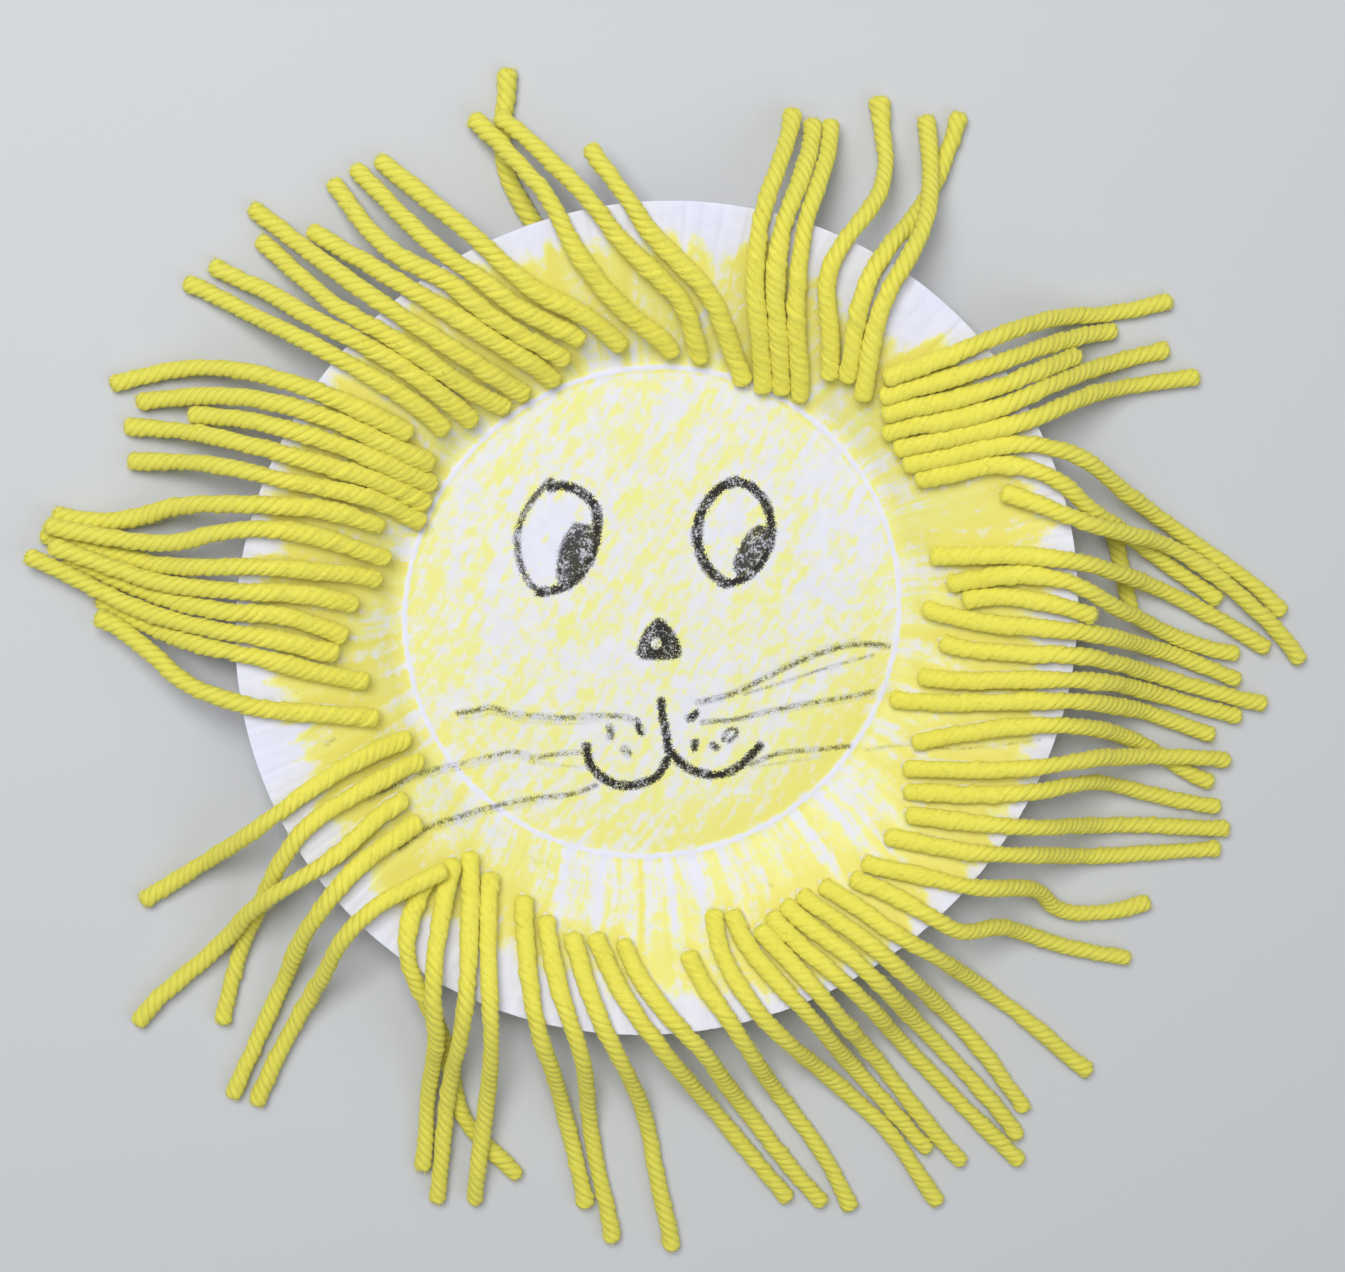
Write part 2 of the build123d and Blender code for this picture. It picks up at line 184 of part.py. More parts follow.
def radii_of(points):
    """Fillet radius at each inner corner: 0.45 of the shorter run beside it is used by the arc."""
    out = []
    for a, b, c in zip(points, points[1:], points[2:]):
        u, v = Vector(*b) - Vector(*a), Vector(*c) - Vector(*b)
        turn = radians(u.get_angle(v))
        out.append(0.45 * min(u.length, v.length) / tan(turn / 2))
    return out


def yarn(points):
    """One round length of yarn along its route."""
    radii = radii_of(points)
    with BuildLine() as route:
        FilletPolyline(*points, radius=radii)
    with BuildPart() as length:
        with BuildSketch(Plane(origin=route.line @ 0, z_dir=route.line % 0)):
            Circle(YARN_D / 2)
        sweep(path=route.line)
    return length.part, route.wire().length, min(radii)


os.makedirs("parts", exist_ok=True)

paper_plate.part.label = "paper_plate"
export_step(paper_plate.part, "parts/paper_plate.step")
glue_film.part.label = "glue_film"
export_step(glue_film.part, "parts/glue_film.step")

SECTION = pi * YARN_D**2 / 4
for name, points in SINGLE.items():
    tube, length, tightest = yarn(points)
    with BuildPart() as strand:
        add(tube)
    strand.part.label = name
    export_step(strand.part, "parts/" + name + ".step")
    print(name, "length", round(length, 1), "tightest radius", round(tightest, 1), "volume ratio", round(strand.part.volume / (SECTION * length), 3))

for name, members in TUFTS.items():
    lengths = [yarn(points) for points in members]
    total = sum(length for _, length, _ in lengths)
    with BuildPart() as tuft:
        for tube, length, tightest in lengths:
            add(tube)
            print(name, "length", round(length, 1), "tightest radius", round(tightest, 1))
    tuft.part.label = name
    export_step(tuft.part, "parts/" + name + ".step")
    print(name, "solids", len(tuft.part.solids()), "volume ratio", round(tuft.part.volume / (SECTION * total), 3))

print("plate", paper_plate.part.bounding_box().size, "volume", round(paper_plate.part.volume))
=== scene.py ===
"""A paper plate lion: a six-inch pressed plate with a crayon face and a mane of short lengths of yellow yarn."""
import math

import bpy
import numpy as np
from mathutils import Matrix, Vector


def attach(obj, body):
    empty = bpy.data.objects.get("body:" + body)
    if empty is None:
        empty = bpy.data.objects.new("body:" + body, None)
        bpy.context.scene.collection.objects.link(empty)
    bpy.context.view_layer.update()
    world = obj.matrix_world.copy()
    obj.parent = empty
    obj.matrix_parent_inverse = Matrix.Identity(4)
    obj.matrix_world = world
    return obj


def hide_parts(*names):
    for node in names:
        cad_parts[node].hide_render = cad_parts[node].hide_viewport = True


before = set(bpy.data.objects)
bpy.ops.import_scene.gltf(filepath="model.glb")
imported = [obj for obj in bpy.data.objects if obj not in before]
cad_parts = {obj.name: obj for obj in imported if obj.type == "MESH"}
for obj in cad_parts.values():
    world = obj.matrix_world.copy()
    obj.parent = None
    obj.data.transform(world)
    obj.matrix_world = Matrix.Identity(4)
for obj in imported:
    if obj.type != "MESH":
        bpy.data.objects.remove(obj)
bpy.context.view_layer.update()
scene = bpy.context.scene
scene.view_settings.view_transform = "Standard"
scene.view_settings.look = "None"
scene.view_settings.exposure = 0.0
scene.view_settings.gamma = 1.0

# ---------------------------------------------------------------- camera
CAM_AT = (-0.08603, 0.11798, 0.52521)
CAM_RIGHT = (0.985855, -0.000000, 0.167602)
CAM_UP = (0.037398, 0.974787, -0.219980)
CAM_BACK = (-0.163376, 0.223136, 0.960999)
LENS = 79.876

cam_data = bpy.data.cameras.new("camera")
cam_data.sensor_fit = "HORIZONTAL"
cam_data.sensor_width = 36.0
cam_data.lens = LENS
cam_data.clip_start = 0.01
cam_data.clip_end = 10.0
camera = bpy.data.objects.new("camera", cam_data)
scene.collection.objects.link(camera)
m = Matrix.Identity(4)
for i in range(3):
    m[i][0], m[i][1], m[i][2], m[i][3] = CAM_RIGHT[i], CAM_UP[i], CAM_BACK[i], CAM_AT[i]
camera.matrix_world = m
scene.camera = camera


# ---------------------------------------------------------------- node helpers
def new_material(name):
    mat = bpy.data.materials.new(name)
    mat.use_nodes = True
    nt = mat.node_tree
    bsdf = nt.nodes["Principled BSDF"]
    return mat, nt, bsdf


def lin(r, g, b):
    """sRGB 0-255 to linear."""
    out = []
    for c in (r, g, b):
        c = c / 255.0
        out.append(c / 12.92 if c <= 0.04045 else ((c + 0.055) / 1.055) ** 2.4)
    return (*out, 1.0)


class Net:
    """Small helper to wire nodes."""

    def __init__(self, nt):
        self.nt = nt

    def node(self, kind, **props):
        n = self.nt.nodes.new(kind)
        for k, v in props.items():
            setattr(n, k, v)
        return n

    def link(self, a, b):
        self.nt.links.new(a, b)

    def value(self, x, sock):
        if isinstance(x, (int, float)):
            sock.default_value = x
        else:
            self.link(x, sock)

    def math(self, op, a, b=None, c=None, clamp=False):
        n = self.node("ShaderNodeMath", operation=op, use_clamp=clamp)
        self.value(a, n.inputs[0])
        if b is not None:
            self.value(b, n.inputs[1])
        if c is not None:
            self.value(c, n.inputs[2])
        return n.outputs[0]

    def smooth(self, x, lo, hi, a=0.0, b=1.0):
        n = self.node("ShaderNodeMapRange", interpolation_type="SMOOTHSTEP")
        self.value(x, n.inputs["Value"])
        self.value(lo, n.inputs["From Min"])
        self.value(hi, n.inputs["From Max"])
        self.value(a, n.inputs["To Min"])
        self.value(b, n.inputs["To Max"])
        return n.outputs[0]

    def mix(self, fac, a, b, blend="MIX"):
        n = self.node("ShaderNodeMix", data_type="RGBA", blend_type=blend)
        self.value(fac, n.inputs[0])
        for x, sock in ((a, n.inputs[6]), (b, n.inputs[7])):
            if isinstance(x, tuple):
                sock.default_value = x
            else:
                self.link(x, sock)
        return n.outputs[2]

    def attr(self, name, out="Fac"):
        n = self.node("ShaderNodeAttribute", attribute_name=name)
        return n.outputs[out]

    def noise(self, vec, scale, detail=2.0, rough=0.5, dist=0.0):
        n = self.node("ShaderNodeTexNoise")
        self.link(vec, n.inputs["Vector"])
        n.inputs["Scale"].default_value = scale
        n.inputs["Detail"].default_value = detail
        n.inputs["Roughness"].default_value = rough
        n.inputs["Distortion"].default_value = dist
        return n.outputs["Fac"]

    def scaled(self, vec, x, y, z):
        n = self.node("ShaderNodeMapping")
        self.link(vec, n.inputs["Vector"])
        n.inputs["Scale"].default_value = (x, y, z)
        return n.outputs[0]

    def position(self):
        return self.attr("rest_mm", "Vector")

    def bump(self, height, strength, distance, bsdf, normal=None):
        n = self.node("ShaderNodeBump")
        n.inputs["Strength"].default_value = strength
        n.inputs["Distance"].default_value = distance
        self.link(height, n.inputs["Height"])
        if normal is not None:
            self.link(normal, n.inputs["Normal"])
        if bsdf is not None:
            self.link(n.outputs[0], bsdf.inputs["Normal"])
        return n.outputs[0]


# ---------------------------------------------------------------- yarn material
def yarn_material():
    mat, nt, bsdf = new_material("yellow_worsted")
    n = Net(nt)
    fib = n.attr("fibre", "Vector")  # along the yarn, and around it, in fibre widths
    groove = n.attr("groove")  # 1 in the groove between plies, 0 on a ply's crown
    pos = n.position()
    fine = n.noise(fib, 1.0, 3.0, 0.65)
    coarse = n.noise(fib, 0.28, 2.0, 0.5)
    drift = n.noise(pos, 0.09, 2.0, 0.5)
    light = lin(*YARN_LIGHT)
    mid = lin(*YARN_MID)
    groove_shade = lin(*YARN_GROOVE_SHADE)
    body = n.mix(n.smooth(fine, 0.36, 0.64), mid, light)
    body = n.mix(n.math("MULTIPLY", n.smooth(coarse, 0.42, 0.62), 0.35), body, mid)
    body = n.mix(n.math("MULTIPLY", n.smooth(drift, 0.35, 0.7), 0.25), body, mid)
    # painted shade: the grooves between the plies are darkened toward the groove shade colour
    body = n.mix(n.math("MULTIPLY", n.smooth(groove, 0.45, 1.0), 0.6), body, groove_shade)
    # painted shade, partly the duller dry yarn: the free tails off the plate are painted darker and duller than the
    # glue-soaked part lying on the plate, standing in for the dimmer light they get away from the plate
    body = n.mix(n.math("MULTIPLY", n.math("SUBTRACT", 1.0, n.attr("soaked_lit")), 0.45), body, lin(*YARN_DRY_SHADE))
    n.link(body, bsdf.inputs["Base Color"])
    bsdf.inputs["Roughness"].default_value = 0.95
    bsdf.inputs["Specular IOR Level"].default_value = 0.1
    bsdf.inputs["Subsurface Weight"].default_value = 0.3
    bsdf.inputs["Subsurface Radius"].default_value = (1.0, 0.95, 0.35)
    bsdf.inputs["Subsurface Scale"].default_value = 0.0007
    bsdf.inputs["Sheen Weight"].default_value = 0.35
    bsdf.inputs["Sheen Roughness"].default_value = 0.5
    bsdf.inputs["Sheen Tint"].default_value = lin(250, 240, 150)
    h = n.math("ADD", n.math("MULTIPLY", fine, 0.7), n.math("MULTIPLY", coarse, 0.5))
    n.bump(h, 0.55, 0.0003, bsdf)
    return mat


def fuzz_material():
    mat, nt, bsdf = new_material("yarn_fuzz")
    n = Net(nt)
    pos = n.position()
    v = n.noise(pos, 0.8, 1.0, 0.5)
    n.link(n.mix(v, lin(*YARN_MID), lin(*YARN_LIGHT)), bsdf.inputs["Base Color"])
    bsdf.inputs["Roughness"].default_value = 0.8
    bsdf.inputs["Specular IOR Level"].default_value = 0.2
    n.bump(v, 0.2, 0.0001, bsdf)
    return mat


YARN_LIGHT = (240, 233, 110)
YARN_MID = (230, 221, 84)
# painted shade colour for the grooves between the plies
YARN_GROOVE_SHADE = (204, 190, 48)
# painted shade: the darker, duller colour given to the free tails, partly their dry yarn
YARN_DRY_SHADE = (212, 208, 92)
YARN = yarn_material()
FUZZ = fuzz_material()

# ---------------------------------------------------------------- yarn routes, in metres
ROUTES = {
    "yarn_s1": [[(-0.0066, 0.0496, 0.00467), (-0.00887, 0.05256, 0.00687), (-0.01534, 0.05727, 0.01006), (-0.02286, 0.06078, 0.01239), (-0.02896, 0.06631, 0.01483), (-0.03516, 0.0722, 0.01477), (-0.04082, 0.07659, 0.00962), (-0.04601, 0.08094, 0.00442), (-0.04899, 0.08339, 0.00236)]],
    "yarn_s2": [[(-0.01384, 0.05143, 0.00668), (-0.01743, 0.05367, 0.00852), (-0.02541, 0.0575, 0.01148), (-0.03204, 0.06326, 0.01417), (-0.03963, 0.06843, 0.01517), (-0.04534, 0.07376, 0.00972), (-0.05016, 0.07896, 0.00393), (-0.05313, 0.08204, 0.00199)]],
    "yarn_s3": [[(-0.01646, 0.04753, 0.00485), (-0.01934, 0.04978, 0.00686), (-0.02602, 0.05357, 0.01021), (-0.0324, 0.05809, 0.01283), (-0.03841, 0.06362, 0.01514), (-0.04592, 0.06694, 0.01421), (-0.05108, 0.07121, 0.00882), (-0.05471, 0.07656, 0.00366), (-0.05698, 0.07969, 0.00192)]],
    "yarn_s4": [[(-0.01817, 0.04335, 0.00264), (-0.02043, 0.04597, 0.00492), (-0.02649, 0.05001, 0.00863), (-0.03284, 0.05425, 0.01163), (-0.03929, 0.05864, 0.01394), (-0.04625, 0.06295, 0.01521), (-0.05252, 0.06666, 0.01113), (-0.05818, 0.06961, 0.00608), (-0.06103, 0.07149, 0.00373)]],
    "yarn_s5": [[(-0.02341, 0.04156, 0.00295), (-0.02674, 0.04357, 0.00552), (-0.03344, 0.04844, 0.00996), (-0.04053, 0.05345, 0.01293), (-0.04809, 0.0587, 0.01566), (-0.05525, 0.06355, 0.01254), (-0.06094, 0.06761, 0.00632), (-0.06742, 0.07253, 0.00204), (-0.07099, 0.07539, 0.0016)]],
    "yarn_k4": [[(-0.04145, 0.02228, 0.00263), (-0.04434, 0.02453, 0.00517), (-0.05111, 0.02841, 0.00972), (-0.05881, 0.0313, 0.01278), (-0.06703, 0.03436, 0.01549), (-0.07523, 0.03621, 0.01282), (-0.08201, 0.03707, 0.00693), (-0.08958, 0.03734, 0.00233), (-0.09393, 0.03747, 0.0016)]],
    "yarn_k5": [[(-0.04232, 0.01865, 0.00244), (-0.04514, 0.02109, 0.0046), (-0.0515, 0.02498, 0.00925), (-0.05917, 0.02746, 0.01236), (-0.06725, 0.02968, 0.01528), (-0.07545, 0.03178, 0.01398), (-0.08231, 0.03207, 0.00818), (-0.08939, 0.03149, 0.00334), (-0.09348, 0.03149, 0.00176)]],
    "yarn_j1": [[(-0.04966, 0.0191, 0.00665), (-0.05315, 0.02117, 0.00917), (-0.06101, 0.02419, 0.01252), (-0.07003, 0.02544, 0.01547), (-0.07883, 0.02557, 0.01328), (-0.08607, 0.0243, 0.00744), (-0.0934, 0.02102, 0.00261), (-0.10254, 0.02099, 0.00156), (-0.1069, 0.02266, 0.0016)]],
    "yarn_j2": [[(-0.04859, 0.01314, 0.00487), (-0.05226, 0.01476, 0.00762), (-0.05994, 0.01858, 0.01148), (-0.06863, 0.02129, 0.01492), (-0.07796, 0.021, 0.01443), (-0.086, 0.01793, 0.00984), (-0.09446, 0.01807, 0.00551), (-0.10361, 0.01989, 0.00423), (-0.10822, 0.02109, 0.0045)]],
    "yarn_j3": [[(-0.05031, 0.00932, 0.0054), (-0.05393, 0.01116, 0.00808), (-0.06232, 0.01292, 0.01185), (-0.07125, 0.0147, 0.01517), (-0.08053, 0.01457, 0.01399), (-0.08784, 0.01356, 0.00755), (-0.09552, 0.01457, 0.00197), (-0.10464, 0.0176, 0.00156), (-0.10906, 0.01916, 0.0016)]],
    "yarn_j4": [[(-0.05461, 0.00559, 0.00761), (-0.05805, 0.00708, 0.00969), (-0.06553, 0.00921, 0.01251), (-0.07368, 0.01026, 0.0153), (-0.08165, 0.01068, 0.0134), (-0.08904, 0.01109, 0.00936), (-0.09613, 0.01297, 0.00528), (-0.1038, 0.01608, 0.00457), (-0.10766, 0.01761, 0.00472)]],
    "yarn_j8": [[(-0.05131, -0.01537, 0.00686), (-0.05494, -0.01458, 0.0087), (-0.06233, -0.01275, 0.01173), (-0.07012, -0.01146, 0.01411), (-0.07787, -0.00903, 0.01518), (-0.08505, -0.00675, 0.01162), (-0.0907, -0.00132, 0.00918), (-0.09657, 0.00311, 0.00569), (-0.10025, 0.00481, 0.00498)]],
    "yarn_i1": [[(-0.04548, -0.01996, 0.00442), (-0.04936, -0.0203, 0.00694), (-0.05722, -0.0226, 0.01103), (-0.06493, -0.02652, 0.01416), (-0.07245, -0.03174, 0.01518), (-0.07819, -0.03703, 0.01007), (-0.08337, -0.04179, 0.00418), (-0.09036, -0.04687, 0.00156), (-0.0944, -0.04916, 0.00164)]],
    "yarn_i2": [[(-0.04339, -0.02399, 0.00436), (-0.04754, -0.02481, 0.00749), (-0.05603, -0.02784, 0.01174), (-0.06515, -0.03207, 0.01543), (-0.07039, -0.04045, 0.01342), (-0.07303, -0.0488, 0.0071), (-0.07642, -0.0575, 0.00191), (-0.07949, -0.06791, 0.00156), (-0.08073, -0.07331, 0.00187)]],
    "yarn_h1": [[(-0.0425, -0.04368, 0.01047), (-0.04533, -0.04692, 0.01227), (-0.04849, -0.05651, 0.01534), (-0.04465, -0.06661, 0.01359), (-0.04079, -0.07552, 0.00892), (-0.03893, -0.08445, 0.00276), (-0.03715, -0.09511, 0.00156), (-0.0297, -0.10335, 0.00195), (-0.02631, -0.1072, 0.00158)]],
    "yarn_h2": [[(-0.03828, -0.04159, 0.00895), (-0.04, -0.04599, 0.01155), (-0.04235, -0.05532, 0.01497), (-0.04349, -0.06527, 0.01727), (-0.04233, -0.07442, 0.01353), (-0.04277, -0.08195, 0.00711), (-0.04354, -0.09048, 0.00249), (-0.04394, -0.10005, 0.00235), (-0.04465, -0.10449, 0.0016)]],
    "yarn_h3": [[(-0.03532, -0.04093, 0.00709), (-0.03541, -0.04607, 0.00968), (-0.03626, -0.05628, 0.0134), (-0.03729, -0.06713, 0.01665), (-0.03861, -0.07697, 0.01282), (-0.0395, -0.08538, 0.00604), (-0.04049, -0.09557, 0.00315), (-0.04142, -0.10613, 0.00283), (-0.04196, -0.11112, 0.0016)]],
    "yarn_h4": [[(-0.03169, -0.04492, 0.00765), (-0.03234, -0.04959, 0.0105), (-0.03301, -0.05926, 0.01421), (-0.03291, -0.06953, 0.01723), (-0.03256, -0.07891, 0.01371), (-0.03262, -0.0869, 0.00785), (-0.03346, -0.09651, 0.00496), (-0.03486, -0.10668, 0.00434), (-0.03479, -0.11165, 0.00161)]],
    "yarn_g3": [[(-0.01293, -0.05703, 0.00943), (-0.01136, -0.06179, 0.0114), (-0.00661, -0.07085, 0.01451), (-0.00031, -0.07951, 0.01496), (0.00473, -0.08715, 0.00915), (0.00985, -0.09454, 0.00343), (0.01602, -0.10299, 0.00156), (0.02247, -0.11146, 0.00187), (0.0257, -0.11567, 0.0016)]],
    "yarn_g2": [[(-0.00777, -0.05841, 0.00964), (-0.00625, -0.06331, 0.01167), (-0.00029, -0.07187, 0.01484), (0.00705, -0.07982, 0.01476), (0.01144, -0.08778, 0.00831), (0.01639, -0.0953, 0.00231), (0.02258, -0.10435, 0.00163), (0.02898, -0.11295, 0.00175), (0.0326, -0.11701, 0.0016)]],
    "yarn_g1": [[(0.00416, -0.06107, 0.01064), (0.00576, -0.06556, 0.01245), (0.01154, -0.07372, 0.01556), (0.01641, -0.08207, 0.01256), (0.02032, -0.08886, 0.00578), (0.02541, -0.09662, 0.00157), (0.03137, -0.10495, 0.00183), (0.03615, -0.11388, 0.00162), (0.03795, -0.11864, 0.0016)]],
    "yarn_f9": [[(0.0097, -0.05423, 0.00772), (0.0093, -0.05983, 0.01051), (0.01483, -0.0702, 0.01523), (0.02279, -0.07922, 0.01404), (0.02919, -0.08642, 0.00564), (0.037, -0.09454, 0.00159), (0.04584, -0.10325, 0.00195), (0.05208, -0.11362, 0.00164), (0.05545, -0.11868, 0.0016)]],
    "yarn_f8": [[(0.01294, -0.05438, 0.00814), (0.01387, -0.05864, 0.01027), (0.01988, -0.0664, 0.01407), (0.02684, -0.07383, 0.01524), (0.03209, -0.08127, 0.0097), (0.03687, -0.08775, 0.00306), (0.04342, -0.09574, 0.00157), (0.04996, -0.10372, 0.00179), (0.05328, -0.10764, 0.00159)]],
    "yarn_f7": [[(0.01745, -0.05733, 0.01003), (0.02069, -0.06087, 0.01197), (0.0275, -0.06823, 0.01558), (0.03365, -0.07621, 0.01312), (0.03852, -0.08265, 0.00609), (0.04413, -0.09007, 0.00179), (0.05039, -0.09867, 0.00192), (0.05665, -0.1068, 0.00167), (0.06021, -0.11062, 0.0016)]],
    "yarn_f6": [[(0.01968, -0.05496, 0.00941), (0.02311, -0.05898, 0.01166), (0.03202, -0.06632, 0.01575), (0.0394, -0.0743, 0.01266), (0.04475, -0.08161, 0.00437), (0.05187, -0.09, 0.00156), (0.05979, -0.09871, 0.00204), (0.06774, -0.10706, 0.0016), (0.07181, -0.11122, 0.0016)]],
    "yarn_f5": [[(0.02238, -0.05315, 0.00904), (0.02596, -0.05667, 0.0113), (0.03469, -0.0627, 0.0153), (0.04199, -0.07068, 0.0141), (0.04724, -0.07723, 0.00644), (0.05383, -0.08496, 0.00203), (0.06117, -0.09306, 0.00186), (0.06819, -0.10149, 0.00176), (0.07127, -0.10602, 0.0016)]],
    "yarn_f1": [[(0.03718, -0.04579, 0.00967), (0.03962, -0.04679, 0.01066), (0.04491, -0.04755, 0.01228), (0.0502, -0.04877, 0.01356), (0.05552, -0.05009, 0.01499), (0.06103, -0.05089, 0.01444), (0.0659, -0.05183, 0.01166), (0.07019, -0.05323, 0.00834), (0.07371, -0.05569, 0.00485), (0.07668, -0.0598, 0.00194), (0.08212, -0.06111, 0.00156), (0.08775, -0.0611, 0.00164), (0.09321, -0.06013, 0.00158), (0.0959, -0.05931, 0.0016)]],
    "yarn_e7": [[(0.04533, -0.02915, 0.00705), (0.05, -0.02869, 0.00983), (0.05954, -0.02849, 0.01353), (0.06952, -0.02732, 0.01701), (0.07926, -0.02647, 0.01519), (0.08679, -0.02832, 0.00878), (0.09564, -0.02971, 0.00465), (0.10572, -0.03063, 0.00405), (0.11018, -0.03194, 0.00168)]],
    "yarn_e6": [[(0.04708, -0.02447, 0.00656), (0.05142, -0.02307, 0.0088), (0.06046, -0.02097, 0.01199), (0.0701, -0.0196, 0.01545), (0.07958, -0.02113, 0.01352), (0.08651, -0.02439, 0.0062), (0.09428, -0.02842, 0.00156), (0.10267, -0.03454, 0.0018), (0.10755, -0.03627, 0.00159)]],
    "yarn_e5": [[(0.04374, -0.01692, 0.0026), (0.04805, -0.01697, 0.00555), (0.05728, -0.01639, 0.01022), (0.0669, -0.01546, 0.01385), (0.07728, -0.01554, 0.0153), (0.08551, -0.01842, 0.00925), (0.09305, -0.02128, 0.00267), (0.10263, -0.02519, 0.00156), (0.10738, -0.0271, 0.00165)]],
    "yarn_e4": [[(0.04848, -0.01224, 0.00464), (0.0528, -0.01265, 0.00774), (0.06216, -0.01188, 0.01171), (0.07211, -0.01119, 0.01546), (0.08196, -0.01253, 0.01338), (0.08927, -0.01569, 0.00623), (0.09774, -0.01904, 0.00157), (0.10771, -0.02222, 0.00185), (0.1126, -0.0236, 0.0016)]],
    "yarn_e1": [[(0.05307, 0.0054, 0.00673), (0.05713, 0.00654, 0.00924), (0.06619, 0.00837, 0.0128), (0.07555, 0.00648, 0.01549), (0.08338, 0.00102, 0.01261), (0.09027, -0.00246, 0.00649), (0.09764, -0.00696, 0.00172), (0.10686, -0.01047, 0.00163), (0.11165, -0.01126, 0.0016)]],
    "yarn_d2": [[(0.06126, 0.0234, 0.01227), (0.06662, 0.02164, 0.0144), (0.07742, 0.01728, 0.01634), (0.08691, 0.01424, 0.01123), (0.09549, 0.01117, 0.00471), (0.10469, 0.00548, 0.00318), (0.1131, -0.00146, 0.00303), (0.12105, -0.00885, 0.00222), (0.12405, -0.01335, 0.00161)]],
    "yarn_d0": [[(0.04449, 0.02767, 0.00615), (0.05001, 0.02887, 0.00944), (0.06259, 0.03299, 0.01442), (0.07521, 0.03039, 0.01509), (0.08479, 0.0224, 0.00958), (0.09411, 0.01597, 0.00312), (0.10476, 0.0085, 0.00156), (0.11556, 0.0011, 0.00188), (0.12011, -0.00374, 0.00158)]],
    "yarn_c2": [[(0.03952, 0.04017, 0.00832), (0.04315, 0.04158, 0.01024), (0.0509, 0.04404, 0.01283), (0.05895, 0.04689, 0.0153), (0.0669, 0.04911, 0.0129), (0.07387, 0.04981, 0.00749), (0.08109, 0.05044, 0.00275), (0.08534, 0.05056, 0.00167)]],
    "yarn_c1": [[(0.03978, 0.04371, 0.00966), (0.04346, 0.04539, 0.0114), (0.05133, 0.04846, 0.01411), (0.05947, 0.05212, 0.01527), (0.06727, 0.0535, 0.01066), (0.0744, 0.05401, 0.00539), (0.08265, 0.05348, 0.00168), (0.09155, 0.05489, 0.00168), (0.09581, 0.05599, 0.0016)]],
    "yarn_b5": [[(0.03624, 0.03982, 0.00827), (0.03658, 0.0438, 0.01004), (0.03695, 0.05178, 0.01282), (0.03859, 0.05972, 0.01545), (0.04304, 0.06703, 0.0164), (0.04692, 0.07303, 0.01187), (0.0486, 0.07912, 0.00653), (0.04909, 0.08621, 0.00251), (0.0487, 0.08984, 0.0016)]],
    "yarn_b4": [[(0.03377, 0.0432, 0.00752), (0.03371, 0.04629, 0.00949), (0.03392, 0.05346, 0.01241), (0.03463, 0.06092, 0.01547), (0.03869, 0.06766, 0.01464), (0.04481, 0.0719, 0.00912), (0.04972, 0.07698, 0.00368), (0.05363, 0.08511, 0.00156), (0.05502, 0.09031, 0.0019)]],
    "yarn_b3": [[(0.03063, 0.04355, 0.00669), (0.03051, 0.04721, 0.00854), (0.02942, 0.05473, 0.01143), (0.02788, 0.06273, 0.0138), (0.03154, 0.07003, 0.01532), (0.03747, 0.07536, 0.01185), (0.04076, 0.08109, 0.0063), (0.04037, 0.08889, 0.00214), (0.04014, 0.09323, 0.0016)]],
    "yarn_a4": [[(0.01606, 0.0423, 0.00233), (0.01456, 0.04589, 0.0033), (0.0117, 0.05235, 0.0071), (0.00867, 0.05924, 0.01013), (0.00326, 0.06485, 0.01216), (-0.00251, 0.07008, 0.01367), (-0.00701, 0.07676, 0.01521), (-0.01146, 0.08278, 0.01216), (-0.01307, 0.08552, 0.00962)]],
    "yarn_tuft_01": [
        [(-0.01976, 0.06839, 0.0016), (-0.02266, 0.07278, 0.00159), (-0.02772, 0.0825, 0.00159), (-0.02632, 0.09325, 0.00158), (-0.02593, 0.09855, 0.00158)],
        [(0.00291, 0.04795, 0.00318), (0.00083, 0.05114, 0.00546), (-0.00595, 0.05595, 0.00855), (-0.01155, 0.06193, 0.01155), (-0.0166, 0.06866, 0.01428), (-0.02022, 0.07669, 0.01506), (-0.02504, 0.08245, 0.00989), (-0.02962, 0.08759, 0.00458), (-0.03257, 0.09028, 0.00254)],
        [(0.00813, 0.04671, 0.0028), (0.00662, 0.0502, 0.00528), (0.00401, 0.05802, 0.00954), (-0.0023, 0.06407, 0.01208), (-0.00877, 0.07003, 0.01428), (-0.01411, 0.07742, 0.0156), (-0.01993, 0.08315, 0.01139), (-0.02508, 0.08831, 0.00627), (-0.02837, 0.09076, 0.00434)],
    ],
    "yarn_tuft_02": [
        [(0.01938, 0.04064, 0.00233), (0.01921, 0.04455, 0.00352), (0.01765, 0.05151, 0.00782), (0.01608, 0.059, 0.01107), (0.01557, 0.06673, 0.01375), (0.01655, 0.07504, 0.01532), (0.01999, 0.0819, 0.01166), (0.0232, 0.08754, 0.00618), (0.02405, 0.09103, 0.0037)],
        [(0.02288, 0.04047, 0.00254), (0.02227, 0.044, 0.00434), (0.02108, 0.05099, 0.00818), (0.01965, 0.05832, 0.01135), (0.0192, 0.06586, 0.01388), (0.02063, 0.07383, 0.01527), (0.02422, 0.08034, 0.01191), (0.02709, 0.08587, 0.00657), (0.02757, 0.08934, 0.00411)],
        [(0.02617, 0.03906, 0.00269), (0.02582, 0.04262, 0.00455), (0.02444, 0.04976, 0.00821), (0.02337, 0.05726, 0.01142), (0.02324, 0.06491, 0.01396), (0.02419, 0.07312, 0.01519), (0.02763, 0.07984, 0.01161), (0.03046, 0.08552, 0.00606), (0.03079, 0.08917, 0.0036)],
    ],
    "yarn_tuft_03": [
        [(0.04021, 0.03695, 0.00748), (0.04363, 0.03837, 0.00953), (0.05126, 0.03998, 0.01229), (0.0589, 0.04245, 0.01492), (0.06661, 0.04517, 0.01445), (0.07339, 0.04644, 0.00921), (0.07661, 0.04687, 0.00668)],
